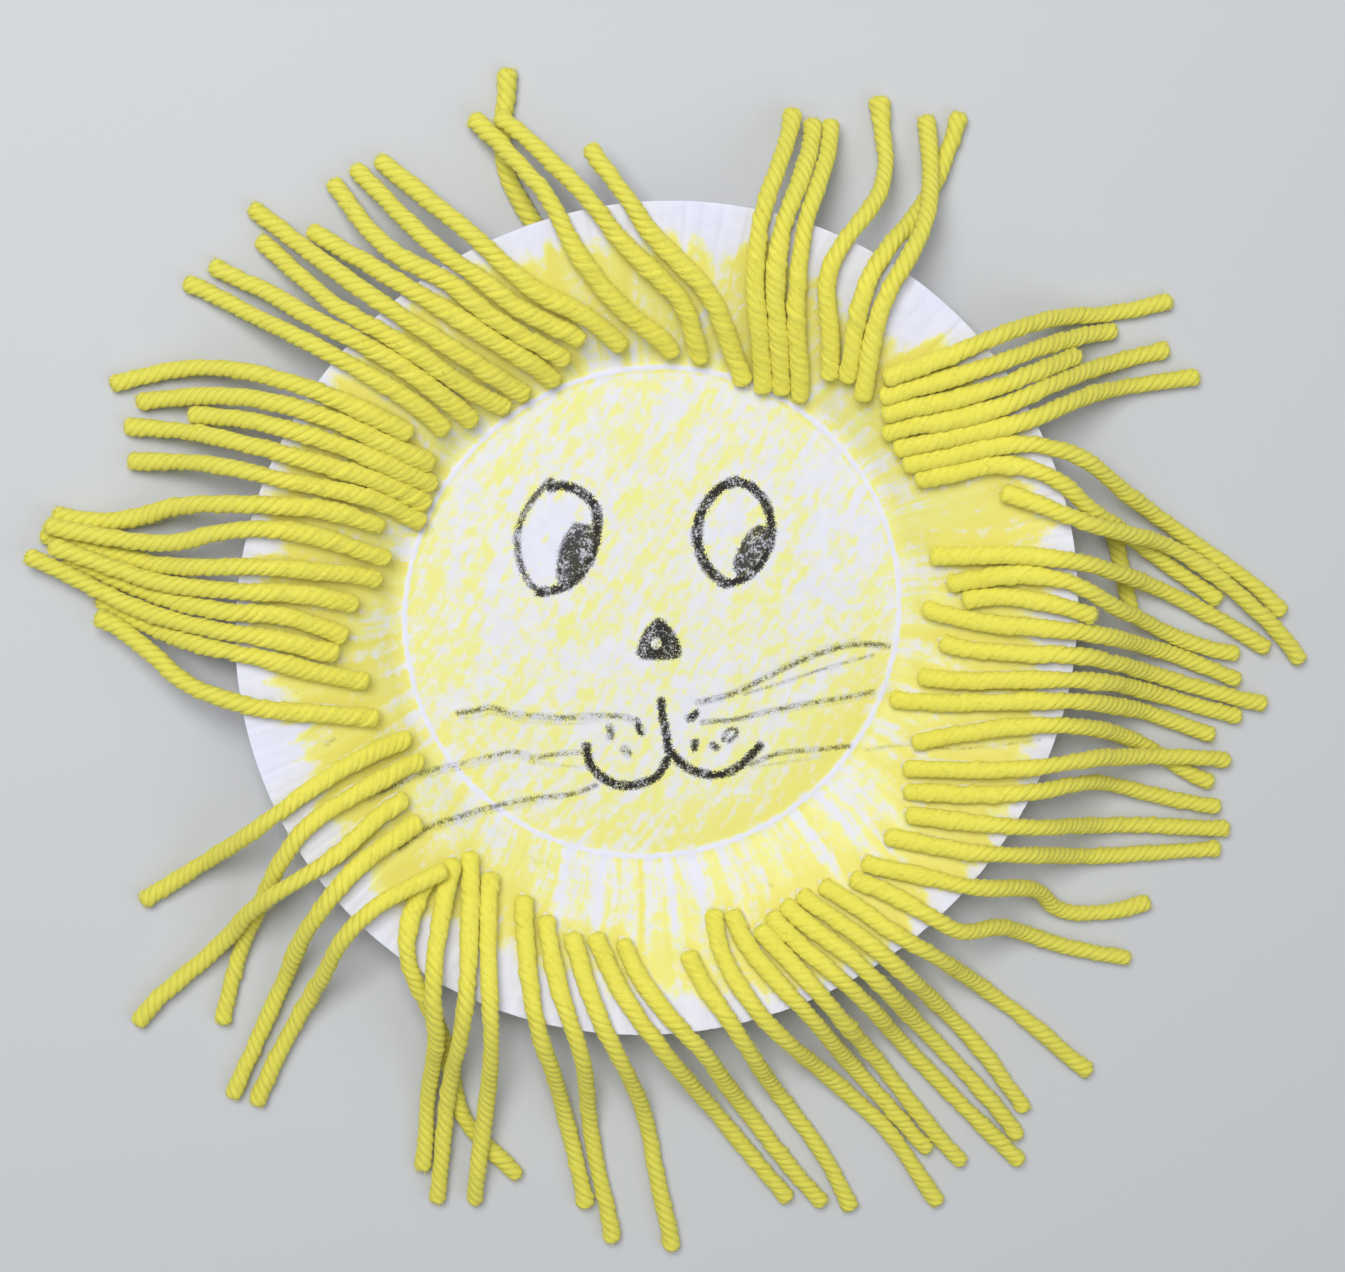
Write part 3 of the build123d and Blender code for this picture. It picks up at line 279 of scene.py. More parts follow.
        [(0.04066, 0.03308, 0.00616), (0.04394, 0.03508, 0.00847), (0.05222, 0.03644, 0.01178), (0.06031, 0.03902, 0.01486), (0.06852, 0.04241, 0.01471), (0.07576, 0.04372, 0.00919), (0.08277, 0.04471, 0.00374), (0.09119, 0.04614, 0.00156), (0.09559, 0.04708, 0.00167)],
        [(0.0427, 0.03052, 0.00622), (0.04665, 0.03157, 0.0086), (0.05486, 0.03407, 0.01196), (0.06376, 0.03595, 0.01514), (0.07236, 0.03906, 0.01393), (0.07963, 0.04017, 0.00761), (0.08753, 0.04033, 0.00236), (0.09689, 0.04132, 0.00156), (0.10157, 0.04176, 0.00162)],
    ],
    "yarn_tuft_04": [
        [(0.04679, 0.02487, 0.00653), (0.05099, 0.02575, 0.00929), (0.06093, 0.02903, 0.01314), (0.07058, 0.02645, 0.01547), (0.07841, 0.01906, 0.01316), (0.0862, 0.01431, 0.00756), (0.09386, 0.00861, 0.00229), (0.10273, 0.00233, 0.00156), (0.10749, -0.00072, 0.00187)],
        [(0.05011, 0.01037, 0.00541), (0.05476, 0.01087, 0.00852), (0.06489, 0.01179, 0.01281), (0.07593, 0.0106, 0.0157), (0.08533, 0.00687, 0.01061), (0.0933, 0.00308, 0.00339), (0.10315, -0.00196, 0.00156), (0.11286, -0.00755, 0.00184), (0.11738, -0.01071, 0.0016)],
        [(0.08539, 0.01534, 0.0016), (0.08676, 0.01098, 0.0016), (0.08893, 0.0021, 0.0016), (0.09008, -0.00233, 0.0016)],
    ],
    "yarn_tuft_05": [
        [(0.05567, 0.00242, 0.00802), (0.06115, 0.00424, 0.01087), (0.07321, 0.00235, 0.01501), (0.07904, 0, 0.01474)],
        [(0.04928, 0.00063, 0.00418), (0.05341, -0.0007, 0.00726), (0.06256, -0.00166, 0.01156), (0.07245, -0.00194, 0.01539), (0.08226, -0.00394, 0.01391), (0.0896, -0.00722, 0.00689), (0.09786, -0.01038, 0.00173), (0.10747, -0.01448, 0.00181), (0.11209, -0.0165, 0.0016)],
        [(0.05212, -0.00558, 0.00618), (0.05656, -0.00672, 0.00897), (0.06617, -0.00677, 0.01291), (0.07665, -0.00688, 0.01554), (0.08542, -0.01004, 0.01056), (0.09282, -0.01347, 0.00364), (0.10232, -0.01694, 0.00156), (0.11242, -0.02008, 0.00189), (0.11747, -0.02127, 0.0016)],
    ],
    "yarn_tuft_06": [
        [(0.04511, -0.03323, 0.00821), (0.04977, -0.03306, 0.01022), (0.05927, -0.03331, 0.01308), (0.06925, -0.03247, 0.01543), (0.07847, -0.03202, 0.01155), (0.08568, -0.03442, 0.00456), (0.09439, -0.03772, 0.00156), (0.10426, -0.04033, 0.00193), (0.10917, -0.04101, 0.0016)],
        [(0.04524, -0.03738, 0.00953), (0.05002, -0.03755, 0.01127), (0.05969, -0.03857, 0.01458), (0.06982, -0.03956, 0.01484), (0.07789, -0.04135, 0.00845), (0.08584, -0.04342, 0.00232), (0.09605, -0.04408, 0.00157), (0.10608, -0.04528, 0.00175), (0.11116, -0.04549, 0.0016)],
        [(0.04135, -0.04126, 0.0094), (0.04625, -0.04193, 0.01123), (0.05617, -0.0437, 0.01461), (0.06668, -0.04466, 0.01486), (0.07493, -0.04699, 0.00824), (0.08313, -0.04964, 0.00207), (0.09384, -0.04965, 0.00164), (0.10424, -0.04949, 0.00172), (0.10953, -0.04941, 0.0016)],
    ],
    "yarn_tuft_07": [
        [(0.03485, -0.04882, 0.01011), (0.03915, -0.05012, 0.01167), (0.04735, -0.05418, 0.01494), (0.05496, -0.05963, 0.01458), (0.06341, -0.05975, 0.00943), (0.07005, -0.06343, 0.00339), (0.07841, -0.06737, 0.00156), (0.0877, -0.06964, 0.00187), (0.09231, -0.07061, 0.0016)],
        [(0.02939, -0.04998, 0.00919), (0.0338, -0.05233, 0.01124), (0.04225, -0.05835, 0.0152), (0.05118, -0.06411, 0.01408), (0.05738, -0.06974, 0.00653), (0.06458, -0.0759, 0.00165), (0.07318, -0.08276, 0.00194), (0.08091, -0.09015, 0.00164), (0.08506, -0.09363, 0.0016)],
        [(0.02535, -0.05153, 0.00892), (0.02924, -0.05438, 0.01111), (0.03747, -0.05985, 0.01492), (0.04507, -0.06706, 0.01468), (0.05067, -0.07327, 0.00798), (0.05645, -0.07975, 0.00235), (0.06358, -0.08768, 0.00185), (0.06934, -0.09617, 0.00176), (0.07242, -0.10041, 0.0016)],
    ],
    "yarn_tuft_08": [
        [(-0.01721, -0.05651, 0.0097), (-0.01611, -0.06138, 0.01162), (-0.01304, -0.07139, 0.01513), (-0.00844, -0.08098, 0.01421), (-0.0049, -0.08907, 0.00754), (-0.00186, -0.09777, 0.00196), (-0.00017, -0.10855, 0.00175), (0.00213, -0.11899, 0.00168), (0.00309, -0.12429, 0.0016)],
        [(-0.02159, -0.05326, 0.00894), (-0.02159, -0.05816, 0.01113), (-0.01952, -0.06814, 0.01448), (-0.01603, -0.07826, 0.01502), (-0.01434, -0.08685, 0.00851), (-0.01316, -0.09567, 0.00248), (-0.01157, -0.10609, 0.00156), (-0.0091, -0.11647, 0.0018), (-0.00862, -0.12175, 0.0016)],
        [(-0.02567, -0.04949, 0.00807), (-0.02591, -0.05407, 0.01035), (-0.02555, -0.06363, 0.01343), (-0.02413, -0.07364, 0.01551), (-0.02107, -0.08233, 0.0111), (-0.01889, -0.09021, 0.00496), (-0.01662, -0.09926, 0.00156), (-0.01448, -0.10933, 0.0018), (-0.01358, -0.11422, 0.0016)],
    ],
    "yarn_tuft_09": [
        [(-0.04651, -0.03016, 0.0079), (-0.05135, -0.03166, 0.01067), (-0.05914, -0.03798, 0.01501), (-0.06858, -0.04293, 0.01657), (-0.07491, -0.04868, 0.0105), (-0.07885, -0.05572, 0.0041), (-0.08588, -0.06242, 0.00244), (-0.09362, -0.06849, 0.00226), (-0.09604, -0.07255, 0.0016)],
        [(-0.04427, -0.0343, 0.0082), (-0.04836, -0.03629, 0.01049), (-0.05685, -0.04094, 0.01435), (-0.06342, -0.04877, 0.01503), (-0.06693, -0.05665, 0.00903), (-0.06903, -0.06478, 0.00309), (-0.07313, -0.07392, 0.00156), (-0.07741, -0.08319, 0.00184), (-0.07948, -0.08781, 0.0016)],
        [(-0.04004, -0.04226, 0.01321), (-0.04418, -0.04375, 0.01423), (-0.05284, -0.04679, 0.01679), (-0.05962, -0.05352, 0.01637), (-0.06195, -0.0613, 0.01042), (-0.06486, -0.06832, 0.00434), (-0.06905, -0.07657, 0.00197), (-0.07343, -0.08499, 0.00215), (-0.07505, -0.08948, 0.0016)],
    ],
    "yarn_tuft_10": [
        [(-0.05674, 9e-05, 0.00858), (-0.06044, 0.00233, 0.0105), (-0.06846, 0.00585, 0.01354), (-0.07785, 0.0068, 0.01545), (-0.08583, 0.00772, 0.01033), (-0.09275, 0.00909, 0.00403), (-0.10085, 0.01285, 0.00156), (-0.10534, 0.01444, 0.0017)],
        [(-0.05827, -0.00294, 0.00937), (-0.06198, -0.00139, 0.01109), (-0.06967, 0.0015, 0.01391), (-0.07805, 0.00334, 0.0153), (-0.08587, 0.00452, 0.0115), (-0.09321, 0.00622, 0.00718), (-0.10038, 0.00971, 0.00421), (-0.10785, 0.01422, 0.00478), (-0.11174, 0.01588, 0.0045)],
        [(-0.05294, -0.00857, 0.0069), (-0.05688, -0.00744, 0.0092), (-0.0649, -0.00447, 0.01222), (-0.07322, -0.00123, 0.01521), (-0.08198, 0.0006, 0.01396), (-0.08896, 0.00197, 0.00773), (-0.09603, 0.00491, 0.00272), (-0.09972, 0.0075, 0.00158)],
    ],
    "yarn_tuft_11": [
        [(-0.0446, 0.03594, 0.00884), (-0.04774, 0.038, 0.01074), (-0.05459, 0.0419, 0.01342), (-0.06214, 0.04546, 0.01545), (-0.06966, 0.04734, 0.01184), (-0.07623, 0.04814, 0.00668), (-0.08364, 0.04773, 0.00234), (-0.09185, 0.04589, 0.00156), (-0.09602, 0.04497, 0.00162)],
        [(-0.04062, 0.02989, 0.0049), (-0.04374, 0.03176, 0.00722), (-0.05047, 0.03545, 0.01098), (-0.05746, 0.03947, 0.01371), (-0.06542, 0.04244, 0.01531), (-0.07307, 0.04364, 0.01125), (-0.0799, 0.04339, 0.00623), (-0.08746, 0.04224, 0.00214), (-0.0917, 0.0418, 0.0016)],
        [(-0.04008, 0.02589, 0.00294), (-0.04305, 0.02751, 0.00553), (-0.04953, 0.0313, 0.00987), (-0.05663, 0.03484, 0.0128), (-0.06443, 0.03801, 0.01544), (-0.07231, 0.03982, 0.01292), (-0.07908, 0.03984, 0.00714), (-0.08247, 0.03969, 0.00447)],
    ],
    "yarn_tuft_12": [
        [(-0.02682, 0.03931, 0.00288), (-0.03008, 0.04079, 0.00523), (-0.03627, 0.04498, 0.00942), (-0.04245, 0.04988, 0.01245), (-0.04915, 0.05464, 0.01516), (-0.05661, 0.05853, 0.01418), (-0.06182, 0.0627, 0.00845), (-0.0668, 0.06714, 0.00327), (-0.06979, 0.06988, 0.00174)],
        [(-0.03306, 0.03702, 0.0044), (-0.03557, 0.03962, 0.00679), (-0.04139, 0.04464, 0.01077), (-0.04772, 0.04967, 0.01353), (-0.05505, 0.05402, 0.01566), (-0.06214, 0.05739, 0.01212), (-0.06773, 0.06073, 0.00663), (-0.07467, 0.06347, 0.00241), (-0.07815, 0.06552, 0.0016)],
        [(-0.03838, 0.03584, 0.00624), (-0.04049, 0.03875, 0.00842), (-0.04639, 0.04353, 0.01174), (-0.05294, 0.04791, 0.01444), (-0.06007, 0.05215, 0.01504), (-0.06649, 0.05503, 0.01042), (-0.07232, 0.05751, 0.00529), (-0.079, 0.06097, 0.00194), (-0.0827, 0.06267, 0.0016)],
    ],
}

YARN_D = 0.0031
LAY = 0.0068  # one full turn of the four plies
MM = 0.001


def centreline(points):
    """The smooth line through the route: a NURBS spline with the route's points as its control points."""
    curve = bpy.data.curves.new("route", "CURVE")
    curve.dimensions = "3D"
    curve.resolution_u = 16
    spline = curve.splines.new("NURBS")
    spline.points.add(len(points) - 1)
    for p, co in zip(spline.points, points):
        p.co = (*co, 1.0)
    spline.order_u = 3
    spline.use_endpoint_u = True
    obj = bpy.data.objects.new("route", curve)
    scene.collection.objects.link(obj)
    bpy.context.view_layer.update()
    mesh = bpy.data.meshes.new_from_object(obj)
    line = np.array([v.co[:] for v in mesh.vertices])
    bpy.data.meshes.remove(mesh)
    bpy.data.objects.remove(obj)
    bpy.data.curves.remove(curve)
    return line


def along(line, step):
    """Points of the line at an even spacing."""
    s = np.concatenate([[0], np.cumsum(np.linalg.norm(np.diff(line, axis=0), axis=1))])
    u = np.linspace(0, s[-1], max(8, int(round(s[-1] / step)) + 1))
    return np.stack([np.interp(u, s, line[:, i]) for i in range(3)], 1), u, float(s[-1])


def frames(line):
    """Tangent and two normals along the line, without twist; the first normal starts level, the second up."""
    t = np.gradient(line, axis=0)
    t /= np.linalg.norm(t, axis=1)[:, None]
    up = np.array([0, 0, 1.0])
    b = up - t * (t @ up)[:, None]
    b /= np.linalg.norm(b, axis=1)[:, None]
    nrm = np.cross(b, t)
    return t, nrm, b


def smooth_noise(rng, count, step, sigma):
    """Slow random wander along a strand, about unit size."""
    k = max(3, int(count * step / sigma) + 2)
    base = rng.normal(size=k)
    return np.interp(np.linspace(0, k - 1, count), np.arange(k), base)


N_ROUND = 28
C_PLY, R_PLY = 0.00052, 0.00106


def ply_profile(theta):
    """Radius of four touching plies around the yarn's axis at angle theta, and 1 in the groove, 0 on the crown."""
    a = (theta % (math.pi / 2)) - math.pi / 4
    r = C_PLY * np.cos(a) + np.sqrt(np.maximum(R_PLY**2 - (C_PLY * np.sin(a)) ** 2, 0))
    g = np.abs(a) / (math.pi / 4)
    return r, g**1.6


def plate_top(r):
    """Height of the board's upper face at radius r, in metres."""
    r = np.asarray(r, float) * 1000
    z = np.full_like(r, 0.5)
    k = (r > 45.4825) & (r <= 49.0092)
    z = np.where(k, 6.5 - np.sqrt(np.maximum(36 - (r - 45.4825) ** 2, 0)), z)
    rr = np.minimum(r, 76.2)
    z = np.where(r > 49.0092, -49.67069 + np.sqrt(np.maximum(63.43079**2 - (rr - 86.2929) ** 2, 0)), z)
    return z / 1000


def strand_mesh(line, rng, flare):
    """Vertices, faces and attributes of one twisted length, its cut ends frayed, and its loose fibres."""
    pts, s, total = along(line, 0.00045)
    t, nn, bb = frames(pts)
    n = len(pts)
    step = total / (n - 1)
    swell = 1 + 0.035 * smooth_noise(rng, n, step, 0.006)
    turn0 = rng.uniform(0, 2 * math.pi)
    lay = LAY * rng.uniform(0.93, 1.07)
    phase = turn0 - 2 * math.pi * s / lay + 0.25 * smooth_noise(rng, n, step, 0.012)
    theta = np.linspace(0, 2 * math.pi, N_ROUND, endpoint=False)
    prof, groove = ply_profile(theta)
    # flatter and wider where it is pressed into the glue
    rad = np.hypot(pts[:, 0], pts[:, 1])
    press = np.clip((0.0745 - rad) / 0.006, 0, 1)
    wide, tall = 1 + 0.12 * press, 1 - 0.09 * press
    # cut ends: a little wider, then rounded over
    end_out = total - s
    k = 1 + flare * np.exp(-((end_out / 0.0030) ** 2)) + 0.04 * np.exp(-((s / 0.0025) ** 2))
    lim = 0.0011
    cap = np.sqrt(np.clip(1 - (1 - np.clip(np.minimum(s, end_out) / lim, 0, 1)) ** 2, 0.10, 1))
    k = k * cap * swell
    verts, fib, grv = [], [], []
    ang = phase[:, None] + theta[None, :]
    ply_id = np.floor(theta / (math.pi / 2)).astype(int)
    ply_k = 1 + 0.05 * np.stack([smooth_noise(rng, n, step, 0.005) for _ in range(4)], 1)
    # plies sink into one another where the yarn is pressed and soaked with glue
    blend = (0.45 * press)[:, None]
    shape = prof[None, :] * (1 - blend) + prof.mean() * blend
    rr = shape * k[:, None] * ply_k[:, ply_id] * (1 + 0.012 * rng.normal(size=(n, N_ROUND)))
    x = rr * np.cos(ang) * wide[:, None]
    y = rr * np.sin(ang) * tall[:, None]
    p = pts[:, None, :] + nn[:, None, :] * x[..., None] + bb[:, None, :] * y[..., None]
    # nothing below the table
    p[..., 2] = np.maximum(p[..., 2], 0.00004)
    verts = p.reshape(-1, 3)
    tt = theta[None, :]
    fibre = np.stack(
        [np.broadcast_to(s[:, None] * 1000 * 1.1, rr.shape), np.cos(tt) * 9 * np.ones_like(rr), np.sin(tt) * 9 * np.ones_like(rr)], -1
    ).reshape(-1, 3)
    fibre = fibre + rng.uniform(0, 50, 3)
    g = np.broadcast_to(groove[None, :], rr.shape).reshape(-1)
    # the painted groove shade is weaker where the yarn is pressed flat into the glue
    g = np.clip(g * np.repeat(1 - 0.6 * press, N_ROUND), 0, 1)
    m_ = N_ROUND
    i = np.arange(n - 1)[:, None] * m_
    j = np.arange(m_)[None, :]
    j2 = (j + 1) % m_
    quads = np.stack([i + j, i + j2, i + m_ + j2, i + m_ + j], -1).reshape(-1, 4)
    faces = [tuple(q) for q in quads.tolist()]
    c0, c1 = len(verts), len(verts) + 1
    verts = np.vstack([verts, pts[0] - t[0] * 0.00005, pts[-1] + t[-1] * 0.00005])
    verts[c0:, 2] = np.maximum(verts[c0:, 2], 0.00004)
    fibre = np.vstack([fibre, fibre[0], fibre[-1]])
    g = np.concatenate([g, [0.5, 0.5]])
    for a in range(m_):
        b2 = (a + 1) % m_
        faces.append((c0, b2, a))
        faces.append((c1, (n - 1) * m_ + a, (n - 1) * m_ + b2))
    body = (verts, faces, fibre, g)
    # loose fibres standing off the surface
    count = int(290 * total / 0.06)
    fv, ff = [], []

    def hair(p0, d0, d1, length, width):
        a = p0
        segs = 3
        ring_prev = None
        side = np.cross(d0, d1)
        if np.linalg.norm(side) < 1e-6:
            side = np.array([0, 0, 1.0])
        side /= np.linalg.norm(side)
        for q in range(segs + 1):
            f = q / segs
            d = d0 * (1 - f) + d1 * f
            d /= np.linalg.norm(d) + 1e-12
            if q:
                a = a + d * (length / segs)
            other = np.cross(d, side)
            w = width * (1 - 0.75 * f)
            ring = []
            for h in range(3):
                th = 2 * math.pi * h / 3
                co = a + side * (w * math.cos(th)) + other * (w * math.sin(th))
                co[2] = max(co[2], 0.00003)
                ring.append(len(fv))
                fv.append(co)
            if ring_prev:
                for h in range(3):
                    h2 = (h + 1) % 3
                    ff.append((ring_prev[h], ring_prev[h2], ring[h2], ring[h]))
            else:
                ff.append((ring[2], ring[1], ring[0]))
            ring_prev = ring
        ff.append(tuple(ring_prev))

    for _ in range(count):
        i0 = int(rng.integers(2, n - 2))
        j0 = int(rng.integers(0, m_))
        a0 = ang[i0, j0]
        out = nn[i0] * math.cos(a0) + bb[i0] * math.sin(a0)
        tan = t[i0] * rng.choice([-1, 1])
        roundabout = np.cross(out, tan)
        p0 = pts[i0] + out * rr[i0, j0] * 0.93
        d0 = tan * 0.8 + out * rng.uniform(0.1, 0.75) + roundabout * rng.normal(0, 0.5)
        d1 = tan * rng.uniform(0.1, 1.0) + out * rng.uniform(-0.5, 0.6) + roundabout * rng.normal(0, 0.9)
        hair(p0, d0 / np.linalg.norm(d0), d1 / (np.linalg.norm(d1) + 1e-9), rng.uniform(0.0007, 0.0018) if rng.random() < 0.88 else rng.uniform(0.0018, 0.0025), rng.uniform(0.000020, 0.000038))
    for which, cnt in ((0, 22), (n - 1, 40)):
        dirn = -t[0] if which == 0 else t[-1]
        for _ in range(cnt // (1)):
            a0 = rng.uniform(0, 2 * math.pi)
            r0 = YARN_D / 2 * math.sqrt(rng.uniform(0, 1)) * 0.95
            out = nn[which] * math.cos(a0) + bb[which] * math.sin(a0)
            p0 = pts[which] + out * r0 - dirn * 0.0004
            d0 = dirn + out * rng.uniform(0.0, 0.5)
            d1 = dirn * rng.uniform(0.3, 1) + out * rng.uniform(-0.1, 1.1)
            hair(p0, d0 / np.linalg.norm(d0), d1 / (np.linalg.norm(d1) + 1e-9), rng.uniform(0.0003, 0.00095), rng.uniform(0.00003, 0.00005))
    return body, (np.array(fv), ff), total


def set_attr(mesh, name, kind, values):
    at = mesh.attributes.new(name, kind, "POINT")
    at.data.foreach_set("vector" if kind == "FLOAT_VECTOR" else "value", np.asarray(values, dtype=np.float32).ravel())


def build(name, verts, faces, mats, mat_index, attrs, smooth=True):
    mesh = bpy.data.meshes.new(name)
    mesh.from_pydata(np.asarray(verts).tolist(), [], faces)
    for mat in mats:
        mesh.materials.append(mat)
    if mat_index is not None:
        mesh.polygons.foreach_set("material_index", np.asarray(mat_index, dtype=np.int32))
    mesh.polygons.foreach_set("use_smooth", np.full(len(faces), smooth))
    for key, (kind, values) in attrs.items():
        set_attr(mesh, key, kind, values)
    set_attr(mesh, "rest_mm", "FLOAT_VECTOR", np.asarray(verts) * 1000)
    mesh.update()
    obj = bpy.data.objects.new(name, mesh)
    scene.collection.objects.link(obj)
    return obj


FLARED = {"yarn_g1": 0.22, "yarn_b3": 0.35, "yarn_tuft_08": 0.22, "yarn_b4": 0.12, "yarn_tuft_02": 0.12}
LINES = {}
for index, (node, lines) in enumerate(ROUTES.items()):
    V, Fc, MI, FB, GR = [], [], [], [], []
    base = 0
    for k_, route in enumerate(lines):
        rng = np.random.default_rng(1000 + 10 * index + k_)
        line = centreline(route)
        LINES.setdefault(node, []).append(line)
        (bv, bf, fb, g), (hv, hf), total = strand_mesh(line, rng, FLARED.get(node, 0.07))
        V.append(bv)
        Fc += [tuple(x + base for x in f) for f in bf]
        MI += [0] * len(bf)
        FB.append(fb)
        GR.append(g)
        base += len(bv)
        V.append(hv)
        Fc += [tuple(x + base for x in f) for f in hf]
        MI += [1] * len(hf)
        FB.append(np.zeros((len(hv), 3)))
        GR.append(np.zeros(len(hv)))
        base += len(hv)
    vv = np.vstack(V)
    # painted shade mask: 1 on the plate, fading to 0 on the free tails, which the yarn material paints darker and
    # duller
    soaked_lit = np.clip((0.079 - np.hypot(vv[:, 0], vv[:, 1])) / 0.007, 0, 1)
    piece = build(
        node + "_strand", vv, Fc, [YARN, FUZZ], MI,
        {"fibre": ("FLOAT_VECTOR", np.vstack(FB)), "groove": ("FLOAT", np.concatenate(GR)), "soaked_lit": ("FLOAT", soaked_lit)},
    )
    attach(piece, "root")
    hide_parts(node)
    if len(lines) == 1:
        line = LINES[node][0]

# ---------------------------------------------------------------- the drawing, in mm on the plate
# (width, strength, points)
STROKES = [
    (1.29, 0.8, [(-18.95, 25.73), (-20.95, 23.97), (-22.6, 22.01), (-24.44, 18.96), (-25.39, 15.15), (-24.89, 11.28), (-23.66, 7.55), (-21.32, 5.25)]),
    (1.85, 0.9, [(-21.32, 5.25), (-18.59, 5.53), (-15.29, 6.71), (-12.71, 9.57), (-11.04, 13.39), (-10.47, 17.79), (-11, 21.11), (-13.35, 23.37), (-16.42, 24.74), (-18.96, 24.45)]),
    (2, 0.9, [(14.68, 24.56), (11.55, 23.36), (9.16, 20.49), (7.51, 16.67), (7.89, 12.03), (9.93, 8.05), (12.73, 5.72)]),
    (1.76, 0.93, [(12.73, 5.72), (15.7, 5.99), (19.04, 8.49), (21.25, 12.33), (21.59, 16.77), (20.26, 20.71), (17.65, 23.74), (14.68, 24.56)]),
    (1.57, 0.92, [(1.03, -16.02), (1.22, -18.69), (1.96, -21.95), (2.34, -25.4)]),
    (1.76, 0.9, [(-12.93, -23.95), (-12.4, -27.4), (-9.99, -30.18), (-6.46, -32.07), (-1.98, -31.52), (0.84, -29.92), (2.15, -27.11)]),
    (1.76, 0.9, [(2.52, -25.41), (4.77, -28.19), (7.97, -30.06), (11.93, -30.82), (15.88, -29.28), (19.45, -25.41)]),
    (1.29, 0.62, [(-36.37, -16.69), (-33.45, -16.44), (-30.33, -15.64), (-26.51, -17.49), (-21.37, -17.9), (-17.51, -18.45), (-11.04, -18.16), (-4.55, -18.63), (-2.51, -21.56)]),
    (0.55, 0.5, [(-35.84, -17.84), (-32.92, -17.59), (-29.8, -16.79), (-25.97, -18.65), (-20.83, -19.06), (-16.97, -19.6), (-10.49, -19.32)]),
    (1.2, 0.58, [(-53.17, -29.69), (-47.54, -27.96), (-43.52, -26.94), (-37.44, -26.62), (-31.01, -25.22), (-25.85, -24.13), (-22.74, -25.97), (-18.12, -25.05), (-12.38, -25.12)]),
    (0.55, 0.5, [(-43.18, -27.86), (-37.1, -27.57), (-30.66, -26.18), (-25.5, -25.09), (-22.39, -26.94)]),
    (0.74, 0.45, [(-22.75, -26.54), (-17.77, -27.34), (-13.7, -27.91)]),
    (1.2, 0.62, [(-48.03, -39.16), (-42.66, -35.98), (-35.21, -35.5), (-28, -34.29), (-21.53, -33.26), (-15.59, -33.17), (-11.12, -31.47)]),
    (0.55, 0.5, [(-42.33, -36.88), (-34.88, -36.38), (-27.65, -35.26), (-21.16, -34.24)]),
    (1.29, 0.66, [(7.94, -16.51), (13.93, -15.43), (19.18, -12.99), (24.43, -10.54), (31.01, -7.95), (37.62, -6.5), (43.71, -7.31)]),
    (0.55, 0.5, [(19.55, -12.05), (24.8, -9.61), (31.38, -7.02), (37.99, -5.57)]),
    (0.74, 0.6, [(16.56, -15.35), (24.46, -13.2), (32.94, -10.69), (40.89, -8.91)]),
    (1.11, 0.66, [(8.7, -20.34), (14.52, -20.21), (21.11, -18.78), (27.71, -17.72), (36.43, -16.75), (40.99, -15.99)]),
    (0.55, 0.45, [(21.11, -19.54), (27.72, -18.49), (36.44, -17.52), (41.01, -16.75)]),
    (1.11, 0.66, [(17.96, -28.8), (23.25, -26.73), (29.89, -26.65), (36.56, -26.17)]),
    (0.74, 0.45, [(17.96, -29.37), (24.4, -28.71), (31.24, -28.06)]),
    (0.74, 0.5, [(39.69, -26.94), (47.04, -25.02), (53.98, -25.75), (62.69, -24.42), (69.81, -23.36)]),
    (1.67, 0.66, [(-8.65, -20.54), (-8.28, -22.26)]),
    (1.67, 0.66, [(-5.88, -24.84), (-5.13, -25.64)]),
    (1.48, 0.9, [(-3.63, -19.62), (-2.7, -21.75)]),
    (1.67, 0.88, [(6.45, -19.48), (7.38, -18.57)]),
    (1.48, 0.88, [(7.39, -24.1), (7.21, -25.24)]),
    (1.48, 0.85, [(10.78, -24.83), (11.34, -25.23)]),
    (0.93, 0.8, [(12.65, -23.95), (13.21, -22.26), (14.53, -21.55), (15.47, -22.74), (13.78, -24.19)]),
    (0.74, 0.6, [(-60.82, -19.2), (-59.34, -18.34)]),
    (0.65, 0.4, [(-67.3, 15.42), (-65.91, 14.93)]),
    (0.65, 0.4, [(-66.41, -8.99), (-65.53, -9.46)]),
    (0.65, 0.45, [(-40.95, 57.13), (-39.73, 56.38)]),
    (0.65, 0.5, [(20.55, -50.71), (21.06, -51.04)]),
    (0.65, 0.35, [(-23.36, -44.29), (-22.3, -45.39), (-20.91, -44.92), (-20.24, -45.96)]),
    (0.55, 0.3, [(5.54, -65.34), (6.25, -65.9)]),
    (0.55, 0.4, [(50.21, -26.01), (60.06, -23.97), (70.7, -22.04)]),
]
FILLS = [
    (0.9, [(-14.66, 17.92), (-11.02, 17.26), (-10.86, 13.39), (-12.72, 8.28), (-16.03, 5.81), (-18.39, 7.37), (-17.99, 11.6), (-16.86, 15.42)]),
    (0.9, [(18.99, 16.49), (21.41, 16.22), (21.25, 12.33), (19.04, 8.11), (15.7, 6.17), (14.01, 8.66), (15.11, 11.78), (16.59, 14.71)]),
    (0.95, [(0.49, -0.19), (2.34, -1.2), (4.94, -5.61), (4.76, -8.24), (0.86, -8.27), (-3.78, -7.9), (-3.21, -4.55), (-1.54, -1.61)]),
]
NOSE_PALE_SPOT = (0.12, -5.05)
GAPS = [-109.7, -102.2, -95.5, -87.3, -81.2, -41.0, -48.5, -55.9]
